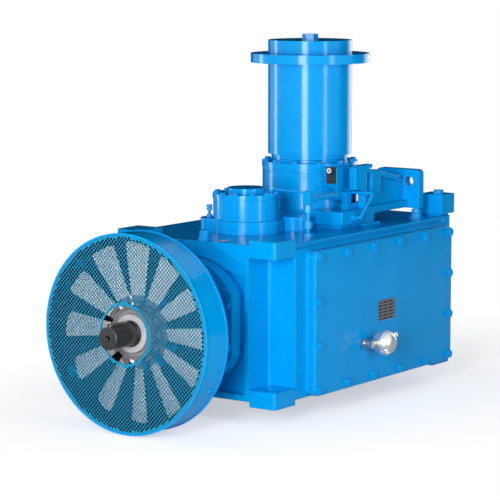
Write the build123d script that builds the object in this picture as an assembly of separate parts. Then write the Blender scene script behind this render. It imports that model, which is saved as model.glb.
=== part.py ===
from build123d import *
from math import acos, atan, atan2, cos, degrees, hypot, pi, radians, sin, sqrt, tan
import os

# Right-angle bevel-helical gear reducer with a vertical output shaft and a shaft-driven cooling fan.
# Millimetres. Origin on the mounting plane of the feet, at the centre of the four foot holes.
# +Z is up, the input shaft leaves the casing towards -X, and the side cover that shows faces -Y.

os.makedirs("parts", exist_ok=True)

# Casing
BODY_LENGTH = 1047.0
BODY_WIDTH = 614.0
HALF_LENGTH = BODY_LENGTH / 2
HALF_WIDTH = BODY_WIDTH / 2
TOP_Z = 503.0
PAD_HEIGHT = 16.0
WALL = 24.0
FLOOR = 26.0
ROOF = 34.0
FOOT_TOP_Z = 53.0
LUG_BOTTOM_Z = 463.0
LUG_TOP_Z = 518.0
CORNER_LENGTH = 110.0
CORNER_DEPTH = 100.0
CORNER_ROUND = 9.0
FOOT_INSET_X = 51.5
FOOT_INSET_Y = 50.0
FOOT_HOLE_X = HALF_LENGTH - FOOT_INSET_X
FOOT_HOLE_Y = HALF_WIDTH - FOOT_INSET_Y
FOOT_BOLT = 30.0
FOOT_HOLE_CLEARANCE = 3.0
END_POCKET_WIDTH = 80.0
END_POCKET_DEPTH = 90.0
END_RECESS = 22.0
END_WALL_X = -HALF_LENGTH + END_RECESS
RECESS_HALF_WIDTH = 190.0
EAVE_STEP = 5.0
RIDGE_HALF_WIDTH = 42.0
EAVE_SLOPE = 23.5
BAND_SLOPE = 16.4
BAND_DROP = 62.0
LEDGE_HEIGHT = 20.0
RAIL_HEIGHT = 9.0
RAIL_GROOVE = 7.0

# Side covers
FRAME_PROUD = 16.0
FRAME_LAND = 42.0
COVER_THICKNESS = 19.0
COVER_EDGE_ROUND = 4.0
GASKET_THICKNESS = 1.0
FRAME_Y = HALF_WIDTH + FRAME_PROUD
COVER_BACK_Y = FRAME_Y + GASKET_THICKNESS
COVER_FACE_Y = COVER_BACK_Y + COVER_THICKNESS
COVER_MARGIN_NEAR = 167.5
COVER_MARGIN_FAR = 50.5
COVER_MARGIN_TOP = 28.0
COVER_X_MIN = -HALF_LENGTH + COVER_MARGIN_NEAR
COVER_X_MAX = HALF_LENGTH - COVER_MARGIN_FAR
COVER_Z_MIN = 19.0
COVER_Z_MAX = TOP_Z - COVER_MARGIN_TOP
COVER_ROUND = 22.0
COVER_BOLT = 16
COVER_BOLT_INSET = 20.0
COVER_BOLTS_LONG = 6
COVER_BOLTS_HIGH = 4

# Bolts: across flats and head height for each thread diameter
HEX = {6: (10, 4.0), 8: (13, 5.3), 10: (16, 6.4), 12: (18, 7.5), 16: (24, 10.0), 20: (30, 12.5),
       24: (36, 15.0), 30: (46, 18.7)}
BOLT_HOLE_CLEARANCE = 0.5

# Running clearance between a turning face and a fixed one, and a free fit of a bore on its seat
RUNNING = 0.3
FIT = 0.05

# Gear train
INPUT_Z = 254.0
OUTPUT_X = 121.0
NORMAL_MODULE = 10.0
PINION_TEETH = 16
WHEEL_TEETH = 55
CENTRE_DISTANCE = 362.0
PRESSURE_ANGLE = 20.0
WHEEL_WIDTH = 100.0
WHEEL_WEB = 36.0
WHEEL_HUB_RADIUS = 128.0
WHEEL_RIM = 34.0
WHEEL_HOLES = 6
WHEEL_HOLE_RADIUS = 36.0
PINION_EXTRA_WIDTH = 6.0
WHEEL_MID_Z = 352.0
BEVEL_MODULE = 8.0
BEVEL_PINION_TEETH = 13
BEVEL_GEAR_TEETH = 34
BEVEL_FACE = 44.0
BEVEL_GEAR_RIM = 16.0
BEVEL_GEAR_BACK = 90.0
BEVEL_PINION_RIM = 4.0
BEVEL_PINION_BACK = 145.0
BACKLASH = 0.8
NUT_HEIGHT = 24.0
NUT_RADIUS = 74.0
FLANK_STEPS = 3
INTER_X = OUTPUT_X - CENTRE_DISTANCE
HELIX_COS = (PINION_TEETH + WHEEL_TEETH) * NORMAL_MODULE / (2 * CENTRE_DISTANCE)
HELIX_ANGLE = acos(HELIX_COS)
TRANSVERSE_MODULE = NORMAL_MODULE / HELIX_COS

# Rolling bearings: bore radius, outside radius and width, with the place of the lower or left face
INPUT_BEARING = (45.0, 95.0, 46.0)
INPUT_BEARING_REACH = 138.5
REAR_BEARING_REACH = 201.0
INPUT_BEARING_FRONT_X = END_WALL_X - INPUT_BEARING_REACH
INPUT_BEARING_REAR_X = INTER_X - REAR_BEARING_REACH
INTER_BEARING_LOW = (40.0, 85.0, 42.0)
INTER_BEARING_LOW_Z = 46.0
INTER_BEARING_HIGH = (45.0, 92.0, 46.0)
INTER_BEARING_HIGH_Z = 520.0
OUTPUT_BEARING_LOW = (70.0, 125.0, 54.0)
OUTPUT_BEARING_LOW_Z = 46.0
OUTPUT_BEARING_HIGH_BORE = 85.0
OUTPUT_BEARING_HIGH_WIDTH = 60.0
OUTPUT_BEARING_HIGH_Z = 600.0
BEARING_LIP = 5.0
ROLLERS = 12
ROLLER_FIT = 0.02

# Input shaft and its carrier
SHAFT_REACH = 453.5
SHAFT_END_X = END_WALL_X - SHAFT_REACH
SHAFT_END_RADIUS = 35.0
SHAFT_END_LENGTH = 105.0
SHAFT_END_CHAMFER = 2.0
CENTRE_HOLE_RADIUS = 10.0
CENTRE_HOLE_DEPTH = 40.0
KEY_WIDTH = 20.0
KEY_HEIGHT = 12.0
KEY_DEPTH = 7.5
KEY_LENGTH = 90.0
KEY_INSET = 5.0
FAN_SEAT_RADIUS = 40.0
SEAL_SEAT_RADIUS = 43.0
SHOULDER = 8.0
CARRIER_RADIUS = 198.0
CARRIER_GAP = 2.0
CARRIER_FLAT = 174.0
CARRIER_FLANGE_THICKNESS = 63.5
CARRIER_FLANGE_FRONT_X = END_WALL_X - CARRIER_FLANGE_THICKNESS
CARRIER_SPIGOT_RADIUS = 146.0
CARRIER_NECK_RADIUS = 124.0
CARRIER_TUBE_RADIUS = 117.0
CARRIER_LAND_RADIUS = 84.0
CARRIER_BOLT = 16
CARRIER_BOLT_CIRCLE = 170.0
CARRIER_BOLTS = 8
SEAL_COVER_THICKNESS = 22.0
SEAL_WIDTH = 14.0
SEAL_WALL = 20.0
SEAL_COVER_BOLT = 10
SEAL_COVER_BOLTS = 6

# Fan and its cowl
FAN_BLADES = 12
FAN_HUB_RADIUS = 82.0
FAN_HUB_REACH = 330.5
FAN_HUB_FRONT_X = END_WALL_X - FAN_HUB_REACH
FAN_HUB_LENGTH = 65.0
FAN_MID_OFFSET = 26.0
FAN_MID_X = FAN_HUB_FRONT_X + FAN_MID_OFFSET
COWL_RADIUS = 304.0
FAN_TIP_GAP = 27.0
FAN_TIP_RADIUS = COWL_RADIUS - FAN_TIP_GAP
BLADE_SHANK_RADIUS = 13.0
BLADE_ROOT_RADIUS = 92.0
BLADE_ROOT_WIDTH = 36.0
BLADE_TIP_WIDTH = 80.0
BLADE_THICKNESS = 5.0
BLADE_CAMBER = 0.05
BLADE_PITCH = 17.5
BLADE_TWIST = 8.0
BLADE_TIP_ROUND = 24.0
CLAMP_RING_RADIUS = 59.0
CLAMP_RING_THICKNESS = 12.0
COWL_REACH = 371.5
COWL_FRONT_X = END_WALL_X - COWL_REACH
COWL_LENGTH = 108.0
COWL_THICKNESS = 3.0
COWL_LIP = 14.0
BEAD_SIZE = 3.0
BEAD_INSET = 4.0
SCREEN_THICKNESS = 2.0
SCREEN_OPENING = 88.0
SCREEN_CLEARANCE = 0.4
BRACKET_WIDTH = 34.0
BRACKET_THICKNESS = 6.0
BRACKET_ANGLES = (40.0, -30.0, 140.0, 210.0)
BRACKET_FOOT_RADIUS = 128.0
BRACKET_BEND_RADIUS = 148.0
COWL_SCREW = 8
BRACKET_SCREW_INSET = 70.0
BRACKET_SCREW_X = COWL_FRONT_X + BRACKET_SCREW_INSET

# Intermediate shaft stack on the roof
SPIGOT_DEPTH = 34.0
STACK_BASE_RADIUS = 118.0
STACK_BASE_TOP = 545.0
STACK_BODY_RADIUS = 107.0
STACK_RIM_RADIUS = 109.0
STACK_BODY_TOP = 613.0
STACK_RIM_HEIGHT = 15.0
STACK_SPIGOT_RADIUS = 86.0
STACK_THROAT_RADIUS = 62.0
STACK_BOLT = 10
STACK_BOLTS = 12
STACK_BOLT_CIRCLE = 99.5
STACK_CAP_RADIUS = 61.0
STACK_CAP_TOP = 645.0
STACK_CAP_WALL = 9.0
LOBE_RADIUS = 50.0
LOBE_TOP_Z = 550.0
LOBES = ((132.0, 98.0), (-43.0, 158.0))

# Output shaft, hub and bearing housing
TOWER_RADIUS = 157.0
TOWER_WALL = 17.0
TOWER_FLANGE_STEP = 3.0
TOWER_RIM_STEP = 1.5
TOWER_SPIGOT_STEP = 23.0
TOWER_THROAT_STEP = 49.0
TOWER_FLANGE_RADIUS = TOWER_RADIUS + TOWER_FLANGE_STEP
TOWER_FLANGE_HEIGHT = 14.0
TOWER_SPIGOT_RADIUS = TOWER_RADIUS - TOWER_SPIGOT_STEP
TOWER_THROAT_RADIUS = TOWER_RADIUS - TOWER_THROAT_STEP
OUTPUT_BEARING_HIGH = (OUTPUT_BEARING_HIGH_BORE, TOWER_RADIUS - TOWER_WALL, OUTPUT_BEARING_HIGH_WIDTH)
TOWER_TOP = 705.0
TOWER_RIM_RADIUS = TOWER_RADIUS + TOWER_RIM_STEP
TOWER_RIM_HEIGHT = 20.0
TOWER_GROOVE_Z = 672.0
TOWER_GROOVE_HEIGHT = 3.0
TOWER_GROOVE_DEPTH = 1.5
TOWER_BOLT = 12
TOWER_BOLTS = 12
TOWER_BOLT_INSET = 9.2
TOWER_BOLT_CIRCLE = TOWER_RADIUS - TOWER_BOLT_INSET
NECK_STEP = 29.5
NECK_RADIUS = TOWER_RADIUS - NECK_STEP
NECK_HEIGHT = 9.0
NECK_GAP = 1.0
OUTPUT_SEAL_SEAT_RADIUS = 78.0
HUB_RADIUS = 138.6
HUB_BOTTOM_Z = 729.0
HUB_TOP_Z = 1103.0
HUB_BORE_RADIUS = 65.0
HUB_RECESS_RADIUS = 110.0
HUB_RECESS_BOTTOM_Z = 960.0
HUB_FLANGE_RADIUS = 196.4
HUB_FLANGE_BOTTOM_Z = 1029.5
HUB_FLANGE_THICKNESS = 30.0
HUB_FLANGE_BOLTS = 12
HUB_FLANGE_BOLT_CIRCLE = 168.0
HUB_FLANGE_HOLE = 22.0
HUB_PLUG_RADIUS = 11.0
HUB_PLUG_ANGLE = -134.4
HUB_PLUG_Z = 745.0
HUB_PLUG_LENGTH = 18.0
END_PLATE_THICKNESS = 16.0
END_BOLT = 30
END_BOLT_GRIP = 70.0

# Forced oil supply on the roof
PUMP_X = (-44.0, 92.0)
PUMP_PROUD = 79.0
PUMP_SINK = 82.0
PUMP_Y = (-TOWER_RADIUS - PUMP_PROUD, -TOWER_RADIUS + PUMP_SINK)
PUMP_Z = (516.0, 560.0)
PUMP_FOOT_INSET = 14.0
MANIFOLD_X = (17.0, 132.0)
MANIFOLD_PROUD = 18.0
MANIFOLD_SINK = 47.0
MANIFOLD_Y = (-TOWER_RADIUS - MANIFOLD_PROUD, -TOWER_RADIUS + MANIFOLD_SINK)
MANIFOLD_Z = (591.0, 695.0)
VALVE_X = (39.0, 141.0)
VALVE_DEPTH = 27.0
VALVE_GAP = 1.0
VALVE_Y = (MANIFOLD_Y[0] - VALVE_GAP - VALVE_DEPTH, MANIFOLD_Y[0] - VALVE_GAP)
VALVE_Z = (560.0, 578.0)
SEAT_GAP = 0.3
RISER_X = -239.0
RISER_Y = -235.0
TEE_Z = 626.0
TEE_SIZE = 26.0
RISER_RADIUS = 7.0
CROSS_RADIUS = 4.0
LOOP_RADIUS = 5.0
LOOP_X = 20.0
LOOP_REACH = 28.0
LOOP_Y = PUMP_Y[0] - LOOP_REACH
LOOP_Z = 538.0
LOOP_TOP_Z = 612.0
BANJO_X = 34.0
BANJO_Y = -72.0
VENT_ANGLE = 124.0
VENT_RADIUS = 5.0

# Bracket beside the tower
ARM_PROUD = 48.0
ARM_THICKNESS = 26.0
ARM_Y = (-TOWER_RADIUS - ARM_PROUD - ARM_THICKNESS, -TOWER_RADIUS - ARM_PROUD)
ARM_COLUMN_X = (45.0, 111.0)
ARM_COLUMN_Z = (625.0, 697.0)
ARM_LEG_X = (98.0, 158.0)
ARM_BEAM_Z = (540.0, 563.0)
ARM_END_INSET = 153.5
ARM_END_THICKNESS = 30.0
ARM_END_X = (HALF_LENGTH - ARM_END_INSET, HALF_LENGTH - ARM_END_INSET + ARM_END_THICKNESS)
ARM_END_MARGIN = 34.0
ARM_END_WIDTH = 166.0
ARM_END_Y = (-HALF_WIDTH + ARM_END_MARGIN, -HALF_WIDTH + ARM_END_MARGIN + ARM_END_WIDTH)
ARM_END_ROUND = 14.0
ARM_END_Z = (537.0, 667.0)
ARM_RIB = 16.0
ARM_WEB = 9.0
ARM_SLOPE_TOP = 693.0
ARM_SLOPE_LOW = 636.0
ARM_HOLE_RADIUS = 16.5
ARM_HOLE_MARGIN = 71.0
ARM_HOLE_Y = -HALF_WIDTH + ARM_HOLE_MARGIN
ARM_HOLE_Z = 628.0
ARM_BOSS_PROUD = 4.0
ARM_HEAD_CLEARANCE = ARM_HOLE_RADIUS + 4.5
ARM_SEAT_X = (142.0, 196.0)
ARM_SEAT_Z = (600.0, 680.0)
ARM_PAD_X = (65.0, 145.0)
ARM_PAD_Z = (690.0, 702.0)
ARM_FOOT_X = (88.0, 180.0)
ARM_FOOT_FRONT = 10.0
ARM_FOOT_BACK = 40.0
ARM_FOOT_HEIGHT = 9.0
STUD_X = (ARM_END_X[0] + ARM_END_X[1]) / 2
STUD_MARGIN = 51.0
STUD_Y = -HALF_WIDTH + STUD_MARGIN
STUD_SIZE = 20
LUG_BLOCK_INSET = 59.5
LUG_BLOCK_PROUD = 23.5
LUG_BLOCK_WIDTH = 91.0
LUG_BLOCK_X = (HALF_LENGTH - LUG_BLOCK_INSET, HALF_LENGTH + LUG_BLOCK_PROUD)
LUG_BLOCK_Y = (-HALF_WIDTH, -HALF_WIDTH + LUG_BLOCK_WIDTH)
LUG_BLOCK_Z = (510.0, 576.0)
LUG_NECK_LENGTH = 56.0
LUG_NECK_INSET = 1.5
LUG_NECK_X = (HALF_LENGTH - LUG_NECK_INSET - LUG_NECK_LENGTH, HALF_LENGTH - LUG_NECK_INSET)
LUG_BOLT_INSET_X = 23.5
LUG_BOLT_INSET_Y = 35.0
LUG_BOLT_X = HALF_LENGTH - LUG_BOLT_INSET_X
LUG_BOLT_Y = -HALF_WIDTH + LUG_BOLT_INSET_Y

# Fittings on the casing
PROBE_X = -88.0
PROBE_Z = 152.0
PROBE_THREAD_RADIUS = 10.0
HEAD_X = -39.0
HEAD_RADIUS = 37.5
HEAD_GAP = 29.0
HEAD_DEPTH = 60.0
HEAD_BACK_Y = -COVER_FACE_Y - HEAD_GAP
HEAD_FRONT_Y = HEAD_BACK_Y - HEAD_DEPTH
ELBOW_REACH = 36.0
ELBOW_SIZE = 28.0
ELBOW_CHAMFER = 5.0
SIDE_ARM_RADIUS = 11.0
NIPPLE_HEX = 15.0
NIPPLE_HEX_HEIGHT = 14.0
NAME_PLATE_X = (9.0, 107.0)
NAME_PLATE_Z = (210.0, 276.0)
NAME_PLATE_THICKNESS = 1.5
RIVET_RADIUS = 2.5
BREATHER_INSET = 27.5
BREATHER_X = -HALF_LENGTH + BREATHER_INSET
BREATHER_Y = -20.0
OIL_PLUG_RADIUS = 16.0
SENSOR_INSET = 19.0
SENSOR_Y = MANIFOLD_Y[0] + SENSOR_INSET
SENSOR_Z = 671.0
SENSOR_WIDTH = 34.0
SENSOR_HEIGHT = 54.0


def block(x, y, z):
    """A box from three (low, high) ranges."""
    size = [high - low for low, high in (x, y, z)]
    return Pos(*[(low + high) / 2 for low, high in (x, y, z)]) * Box(*size)


def turned(plane, steps, bore=0.0):
    """A turned piece on the plane's Z axis, from (start, end, radius) steps, with an optional bore."""
    points = [(bore, steps[0][0])]
    for start, end, radius in steps:
        points += [(radius, start), (radius, end)]
    points.append((bore, steps[-1][1]))
    clean = [points[0]] + [b for a, b in zip(points, points[1:]) if a != b]
    return plane * revolve(Plane.XZ * make_face(Polyline(*clean, close=True)), Axis.Z)


def upright(x, y=0.0):
    """A plane whose axis stands up through (x, y)."""
    return Plane((x, y, 0), x_dir=(1, 0, 0), z_dir=(0, 0, 1))


INPUT_PLANE = Plane((0, 0, INPUT_Z), x_dir=(0, 1, 0), z_dir=(1, 0, 0))
INTER_PLANE = upright(INTER_X)
OUTPUT_PLANE = upright(OUTPUT_X)


def around_input(x, angle):
    """A plane at x on the input axis, facing -X, whose x direction points out at the angle.

    The angle is 0 towards -Y and grows upwards."""
    out = (0, -cos(radians(angle)), sin(radians(angle)))
    return Plane((x, 0, INPUT_Z), x_dir=out, z_dir=(-1, 0, 0))


def radial_place(x, angle, radius):
    """A plane on a cylinder about the input axis, facing outwards."""
    out = (0, -cos(radians(angle)), sin(radians(angle)))
    return Plane((x, radius * out[1], INPUT_Z + radius * out[2]), x_dir=(1, 0, 0), z_dir=out)


def hex_bolt(place, size, grip):
    """A hexagon bolt whose head stands on the plane and whose shank goes grip deep below it."""
    across, height = HEX[size]
    head = extrude(RegularPolygon(across / 2, 6, major_radius=False), height)
    return place * (head + Pos(0, 0, -grip / 2) * Cylinder(size / 2, grip))


def bolt_hole(place, size, depth):
    """The clearance hole for such a bolt, from the plane downwards."""
    return place * Pos(0, 0, -depth / 2) * Cylinder(size / 2 + BOLT_HOLE_CLEARANCE, depth)


def ring_places(plane, radius, count, height, start=0.0):
    """Planes on a pitch circle, all facing along the plane's axis."""
    step = 360.0 / count
    return [plane * Pos(0, 0, height) * Rot(0, 0, start + step * i) * Pos(radius, 0, 0) for i in range(count)]


def save(name, *solids):
    """Write one node, a single solid or a group of separate solids."""
    pieces = [piece for solid in solids for piece in solid.solids()]
    shape = pieces[0] if len(pieces) == 1 else Compound(children=pieces)
    export_step(shape, f"parts/{name}.step")


# Side cover bolt places, shared by the covers, the gaskets and the casing
def cover_bolt_spots():
    x_low, x_high = COVER_X_MIN + COVER_BOLT_INSET, COVER_X_MAX - COVER_BOLT_INSET
    z_low, z_high = COVER_Z_MIN + COVER_BOLT_INSET, COVER_Z_MAX - COVER_BOLT_INSET
    step_x = (x_high - x_low) / (COVER_BOLTS_LONG - 1)
    step_z = (z_high - z_low) / (COVER_BOLTS_HIGH - 1)
    columns = [x_low + step_x * i for i in range(COVER_BOLTS_LONG)]
    rows = [z_low + step_z * i for i in range(COVER_BOLTS_HIGH)]
    spots = [(x, z) for x in columns for z in (rows[0], rows[-1])]
    return spots + [(x, z) for x in (columns[0], columns[-1]) for z in rows[1:-1]]


def side_place(side, x, z, y):
    """A plane on a side of the casing whose axis points outwards; side is -1 for the near side."""
    return Plane((x, side * y, z), x_dir=(-side, 0, 0), z_dir=(0, side, 0))


def side_plate(side, inner_y, thickness, inset=0.0):
    """The rounded plate outline of a side cover, from inner_y outwards."""
    width = COVER_X_MAX - COVER_X_MIN - 2 * inset
    height = COVER_Z_MAX - COVER_Z_MIN - 2 * inset
    centre_x = (COVER_X_MIN + COVER_X_MAX) / 2
    centre_z = (COVER_Z_MIN + COVER_Z_MAX) / 2
    outline = RectangleRounded(width, height, max(COVER_ROUND - inset, 3.0))
    return side_place(side, centre_x, centre_z, inner_y) * extrude(outline, thickness)


# Casing
def end_profile(drop, slope, half_width, bottom):
    """The gabled outline on the input end: flat over the middle, then falling to both sides."""
    peak = TOP_Z - drop
    low = peak - (half_width - RIDGE_HALF_WIDTH) * tan(radians(slope))
    points = [(-half_width, bottom), (-half_width, low), (-RIDGE_HALF_WIDTH, peak),
              (RIDGE_HALF_WIDTH, peak), (half_width, low), (half_width, bottom)]
    plane = Plane((-HALF_LENGTH, 0, 0), x_dir=(0, -1, 0), z_dir=(-1, 0, 0))
    return plane * make_face(Polyline(*points, close=True))


def carrier_bolt_places(x):
    """Bolt places of the input bearing carrier, facing -X, clear of its two flats."""
    angles = [(i + 0.5) * 360 / CARRIER_BOLTS for i in range(CARRIER_BOLTS)]
    return [around_input(x, a) * Pos(CARRIER_BOLT_CIRCLE, 0, 0) for a in angles]


def stack_bolt_places(z):
    return ring_places(INTER_PLANE, STACK_BOLT_CIRCLE, STACK_BOLTS, z, 15.0)


def tower_bolt_places(z):
    return ring_places(OUTPUT_PLANE, TOWER_BOLT_CIRCLE, TOWER_BOLTS, z, 15.0)


def make_housing():
    shell = block((-HALF_LENGTH, HALF_LENGTH), (-HALF_WIDTH, HALF_WIDTH), (PAD_HEIGHT, TOP_Z))
    notch_x = -HALF_LENGTH + CORNER_LENGTH
    notch_y = HALF_WIDTH - CORNER_DEPTH
    for side in (-1, 1):
        y_range = sorted((side * notch_y, side * HALF_WIDTH))
        corner = (notch_x - CORNER_LENGTH, notch_x)
        shell += block(corner, y_range, (TOP_Z, LUG_TOP_Z))
        for x_range in (corner, (-corner[1], -corner[0])):
            shell += block(x_range, y_range, (0, PAD_HEIGHT))
    corners = shell.edges().filter_by(Axis.Z).group_by(Axis.X)
    shell = fillet(corners[0] + corners[-1], CORNER_ROUND)
    shell += side_plate(-1, HALF_WIDTH, FRAME_PROUD)
    shell += side_plate(1, HALF_WIDTH, FRAME_PROUD)

    # Corner pockets at the input end, open to the end and the side, and end pockets at the other
    reach = BODY_LENGTH
    for side in (-1, 1):
        pocket = Pos(notch_x - reach / 2, side * (notch_y + reach / 2), (FOOT_TOP_Z + LUG_BOTTOM_Z) / 2)
        pocket = pocket * Box(reach, reach, LUG_BOTTOM_Z - FOOT_TOP_Z)
        shell -= fillet(pocket.edges().filter_by(Axis.Z), CORNER_ROUND)
        mid_y = side * FOOT_HOLE_Y
        end_pocket = block((HALF_LENGTH - END_POCKET_DEPTH, reach),
                           (mid_y - END_POCKET_WIDTH / 2, mid_y + END_POCKET_WIDTH / 2),
                           (FOOT_TOP_Z, LUG_BOTTOM_Z))
        shell -= fillet(end_pocket.edges().filter_by(Axis.Z), CORNER_ROUND)

    # Gabled recess round the input bearing carrier
    recess_floor = PAD_HEIGHT + LEDGE_HEIGHT
    shell -= extrude(end_profile(0.0, EAVE_SLOPE, RECESS_HALF_WIDTH, recess_floor), -EAVE_STEP)
    shell -= extrude(end_profile(BAND_DROP, BAND_SLOPE, RECESS_HALF_WIDTH, recess_floor), -END_RECESS)

    # Grooved rail along the top of both sides
    for side in (-1, 1):
        rail_y = sorted((side * (HALF_WIDTH - RAIL_GROOVE), side * (HALF_WIDTH + FRAME_PROUD)))
        low = TOP_Z - 2 * RAIL_HEIGHT
        shell -= block((notch_x, COVER_X_MAX), rail_y, (low, low + RAIL_HEIGHT))

    # Oil chamber and the two side openings
    inner_z = (PAD_HEIGHT + FLOOR, TOP_Z - ROOF)
    inner_y = HALF_WIDTH - WALL
    chamber = block((notch_x + WALL, HALF_LENGTH - END_POCKET_DEPTH - WALL), (-inner_y, inner_y), inner_z)
    nose = block((END_WALL_X + WALL, notch_x + WALL), (-notch_y + WALL, notch_y - WALL), inner_z)
    tail_y = FOOT_HOLE_Y - END_POCKET_WIDTH / 2 - WALL
    tail = block((0, HALF_LENGTH - WALL), (-tail_y, tail_y), inner_z)
    shell -= chamber + nose + tail
    for side in (-1, 1):
        shell -= side_plate(side, HALF_WIDTH - WALL - 1, FRAME_PROUD + WALL + 2, FRAME_LAND)
        for x, z in cover_bolt_spots():
            shell -= bolt_hole(side_place(side, x, z, FRAME_Y), COVER_BOLT, FRAME_LAND / 2)

    # Bearing seats in the floor, spigot bores in the roof, and the carrier bore
    for x, bearing, low in ((INTER_X, INTER_BEARING_LOW, INTER_BEARING_LOW_Z),
                            (OUTPUT_X, OUTPUT_BEARING_LOW, OUTPUT_BEARING_LOW_Z)):
        bore, outer, width = bearing
        shell += turned(upright(x), [(PAD_HEIGHT + FLOOR - 1, low + width, outer + WALL)])
        shell -= turned(upright(x), [(low, low + width, outer + FIT)])
        shell -= turned(upright(x), [(PAD_HEIGHT + FLOOR, low, outer - 2 * BEARING_LIP)])
    for plane, spigot in ((INTER_PLANE, STACK_SPIGOT_RADIUS), (OUTPUT_PLANE, TOWER_SPIGOT_RADIUS)):
        shell -= turned(plane, [(TOP_Z - ROOF - 1, TOP_Z, spigot + FIT)])
    shell -= turned(INPUT_PLANE, [(END_WALL_X - 1, END_WALL_X + WALL + 1, CARRIER_SPIGOT_RADIUS + FIT)])
    shell -= turned(INPUT_PLANE, [(-HALF_LENGTH - 1, END_WALL_X, CARRIER_RADIUS + CARRIER_GAP)])
    for place in carrier_bolt_places(END_WALL_X):
        shell -= bolt_hole(place, CARRIER_BOLT, WALL)
    for place in stack_bolt_places(TOP_Z):
        shell -= bolt_hole(place, STACK_BOLT, ROOF * 0.8)
    for place in tower_bolt_places(TOP_Z):
        shell -= bolt_hole(place, TOWER_BOLT, ROOF * 0.8)
    for x in (-FOOT_HOLE_X, FOOT_HOLE_X):
        for y in (-FOOT_HOLE_Y, FOOT_HOLE_Y):
            hole = Cylinder((FOOT_BOLT + FOOT_HOLE_CLEARANCE) / 2, FOOT_TOP_Z + 2)
            shell -= Pos(x, y, FOOT_TOP_Z / 2) * hole
    for place in oil_plug_places():
        shell -= place * Pos(0, 0, -WALL / 2) * Cylinder(OIL_PLUG_RADIUS, WALL)
    return shell


def oil_plug_places():
    """The drain at the foot of the far end wall and the level plug above it, facing +X."""
    return [Plane((HALF_LENGTH, 0, z), x_dir=(0, 1, 0), z_dir=(1, 0, 0))
            for z in (PAD_HEIGHT + FLOOR + 2 * OIL_PLUG_RADIUS, INPUT_Z - BODY_WIDTH / 8)]


def make_covers():
    """The near and far side covers, their gaskets and all their bolts."""
    gaskets = []
    bolts = []
    for side, name in ((-1, "side_cover"), (1, "rear_cover")):
        gasket = side_plate(side, FRAME_Y, GASKET_THICKNESS)
        gasket -= side_plate(side, FRAME_Y - 1, GASKET_THICKNESS + 2, FRAME_LAND)
        cover = side_plate(side, COVER_BACK_Y, COVER_THICKNESS)
        face = cover.faces().sort_by(Axis.Y)[0 if side < 0 else -1]
        cover = fillet(face.edges(), COVER_EDGE_ROUND)
        for x, z in cover_bolt_spots():
            place = side_place(side, x, z, COVER_FACE_Y)
            gasket -= bolt_hole(place, COVER_BOLT, COVER_THICKNESS + 2)
            cover -= bolt_hole(place, COVER_BOLT, COVER_THICKNESS + 2)
            bolts.append(hex_bolt(place, COVER_BOLT, COVER_THICKNESS + COVER_BOLT))
        if side < 0:
            cover -= probe_place() * Cylinder(PROBE_THREAD_RADIUS, 3 * COVER_THICKNESS)
        gaskets.append(gasket)
        save(name, cover)
    save("cover_gaskets", *gaskets)
    save("cover_bolts", *bolts)


# Rolling bearings
def bearing_track(size):
    bore, outside, width = size
    return (outside - bore) * 0.27


def bearing_inner(plane, size, start):
    """Inner ring with its two lips and the rollers on its track."""
    bore, outside, width = size
    track = bore + bearing_track(size)
    low, high = start + BEARING_LIP, start + width - BEARING_LIP
    ring = turned(plane, [(start, low, track + 4), (low, high, track), (high, start + width, track + 4)],
                  bore + FIT)
    radius = (outside - bearing_track(size) - track - RUNNING - ROLLER_FIT) / 2
    places = ring_places(plane, track + ROLLER_FIT + radius, ROLLERS, (low + high) / 2)
    return [ring] + [place * Cylinder(radius, high - low - 1.0) for place in places]


def bearing_outer(plane, size, start):
    bore, outside, width = size
    return turned(plane, [(start, start + width, outside)], outside - bearing_track(size))


# Gears
def involute(angle):
    return tan(angle) - angle


def half_tooth(radius, pitch_radius, base_radius, teeth):
    """Half the angle that a tooth fills at a radius, on an involute flank."""
    pressure = acos(base_radius / pitch_radius)
    here = acos(min(1.0, base_radius / max(radius, base_radius)))
    return pi / (2 * teeth) - BACKLASH / (2 * pitch_radius) + involute(pressure) - involute(here)


def gear_outline(teeth, space_first):
    """The transverse outline of a helical gear, with each flank in short straight lines."""
    pitch = teeth * TRANSVERSE_MODULE / 2
    base = pitch * cos(atan(tan(radians(PRESSURE_ANGLE)) / HELIX_COS))
    tip = pitch + NORMAL_MODULE
    root = pitch - 1.25 * NORMAL_MODULE
    foot = max(base, root)
    radii = [foot + (tip - foot) * i / FLANK_STEPS for i in range(FLANK_STEPS + 1)]
    halves = [half_tooth(r, pitch, base, teeth) for r in radii]
    if root < base:
        radii.insert(0, root)
        halves.insert(0, halves[0])
    points = []
    for tooth in range(teeth):
        middle = 2 * pi * (tooth + (0.5 if space_first else 0.0)) / teeth
        points += [(r * cos(middle - h), r * sin(middle - h)) for r, h in zip(radii, halves)]
        points += [(r * cos(middle + h), r * sin(middle + h)) for r, h in zip(radii[::-1], halves[::-1])]
    return make_face(Polyline(*points, close=True))


def helical_gear(teeth, width, hand, space_first):
    """A helical gear about Z, centred on z = 0; hand is 1 for a right-hand helix."""
    pitch = teeth * TRANSVERSE_MODULE / 2
    twist = hand * degrees(width * tan(HELIX_ANGLE) / pitch)
    start = Pos(0, 0, -width / 2) * Rot(0, 0, -twist / 2) * gear_outline(teeth, space_first)
    return Solid.extrude_linear_with_rotation(start.face(), (0, 0, -width / 2), (0, 0, width), twist)


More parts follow.
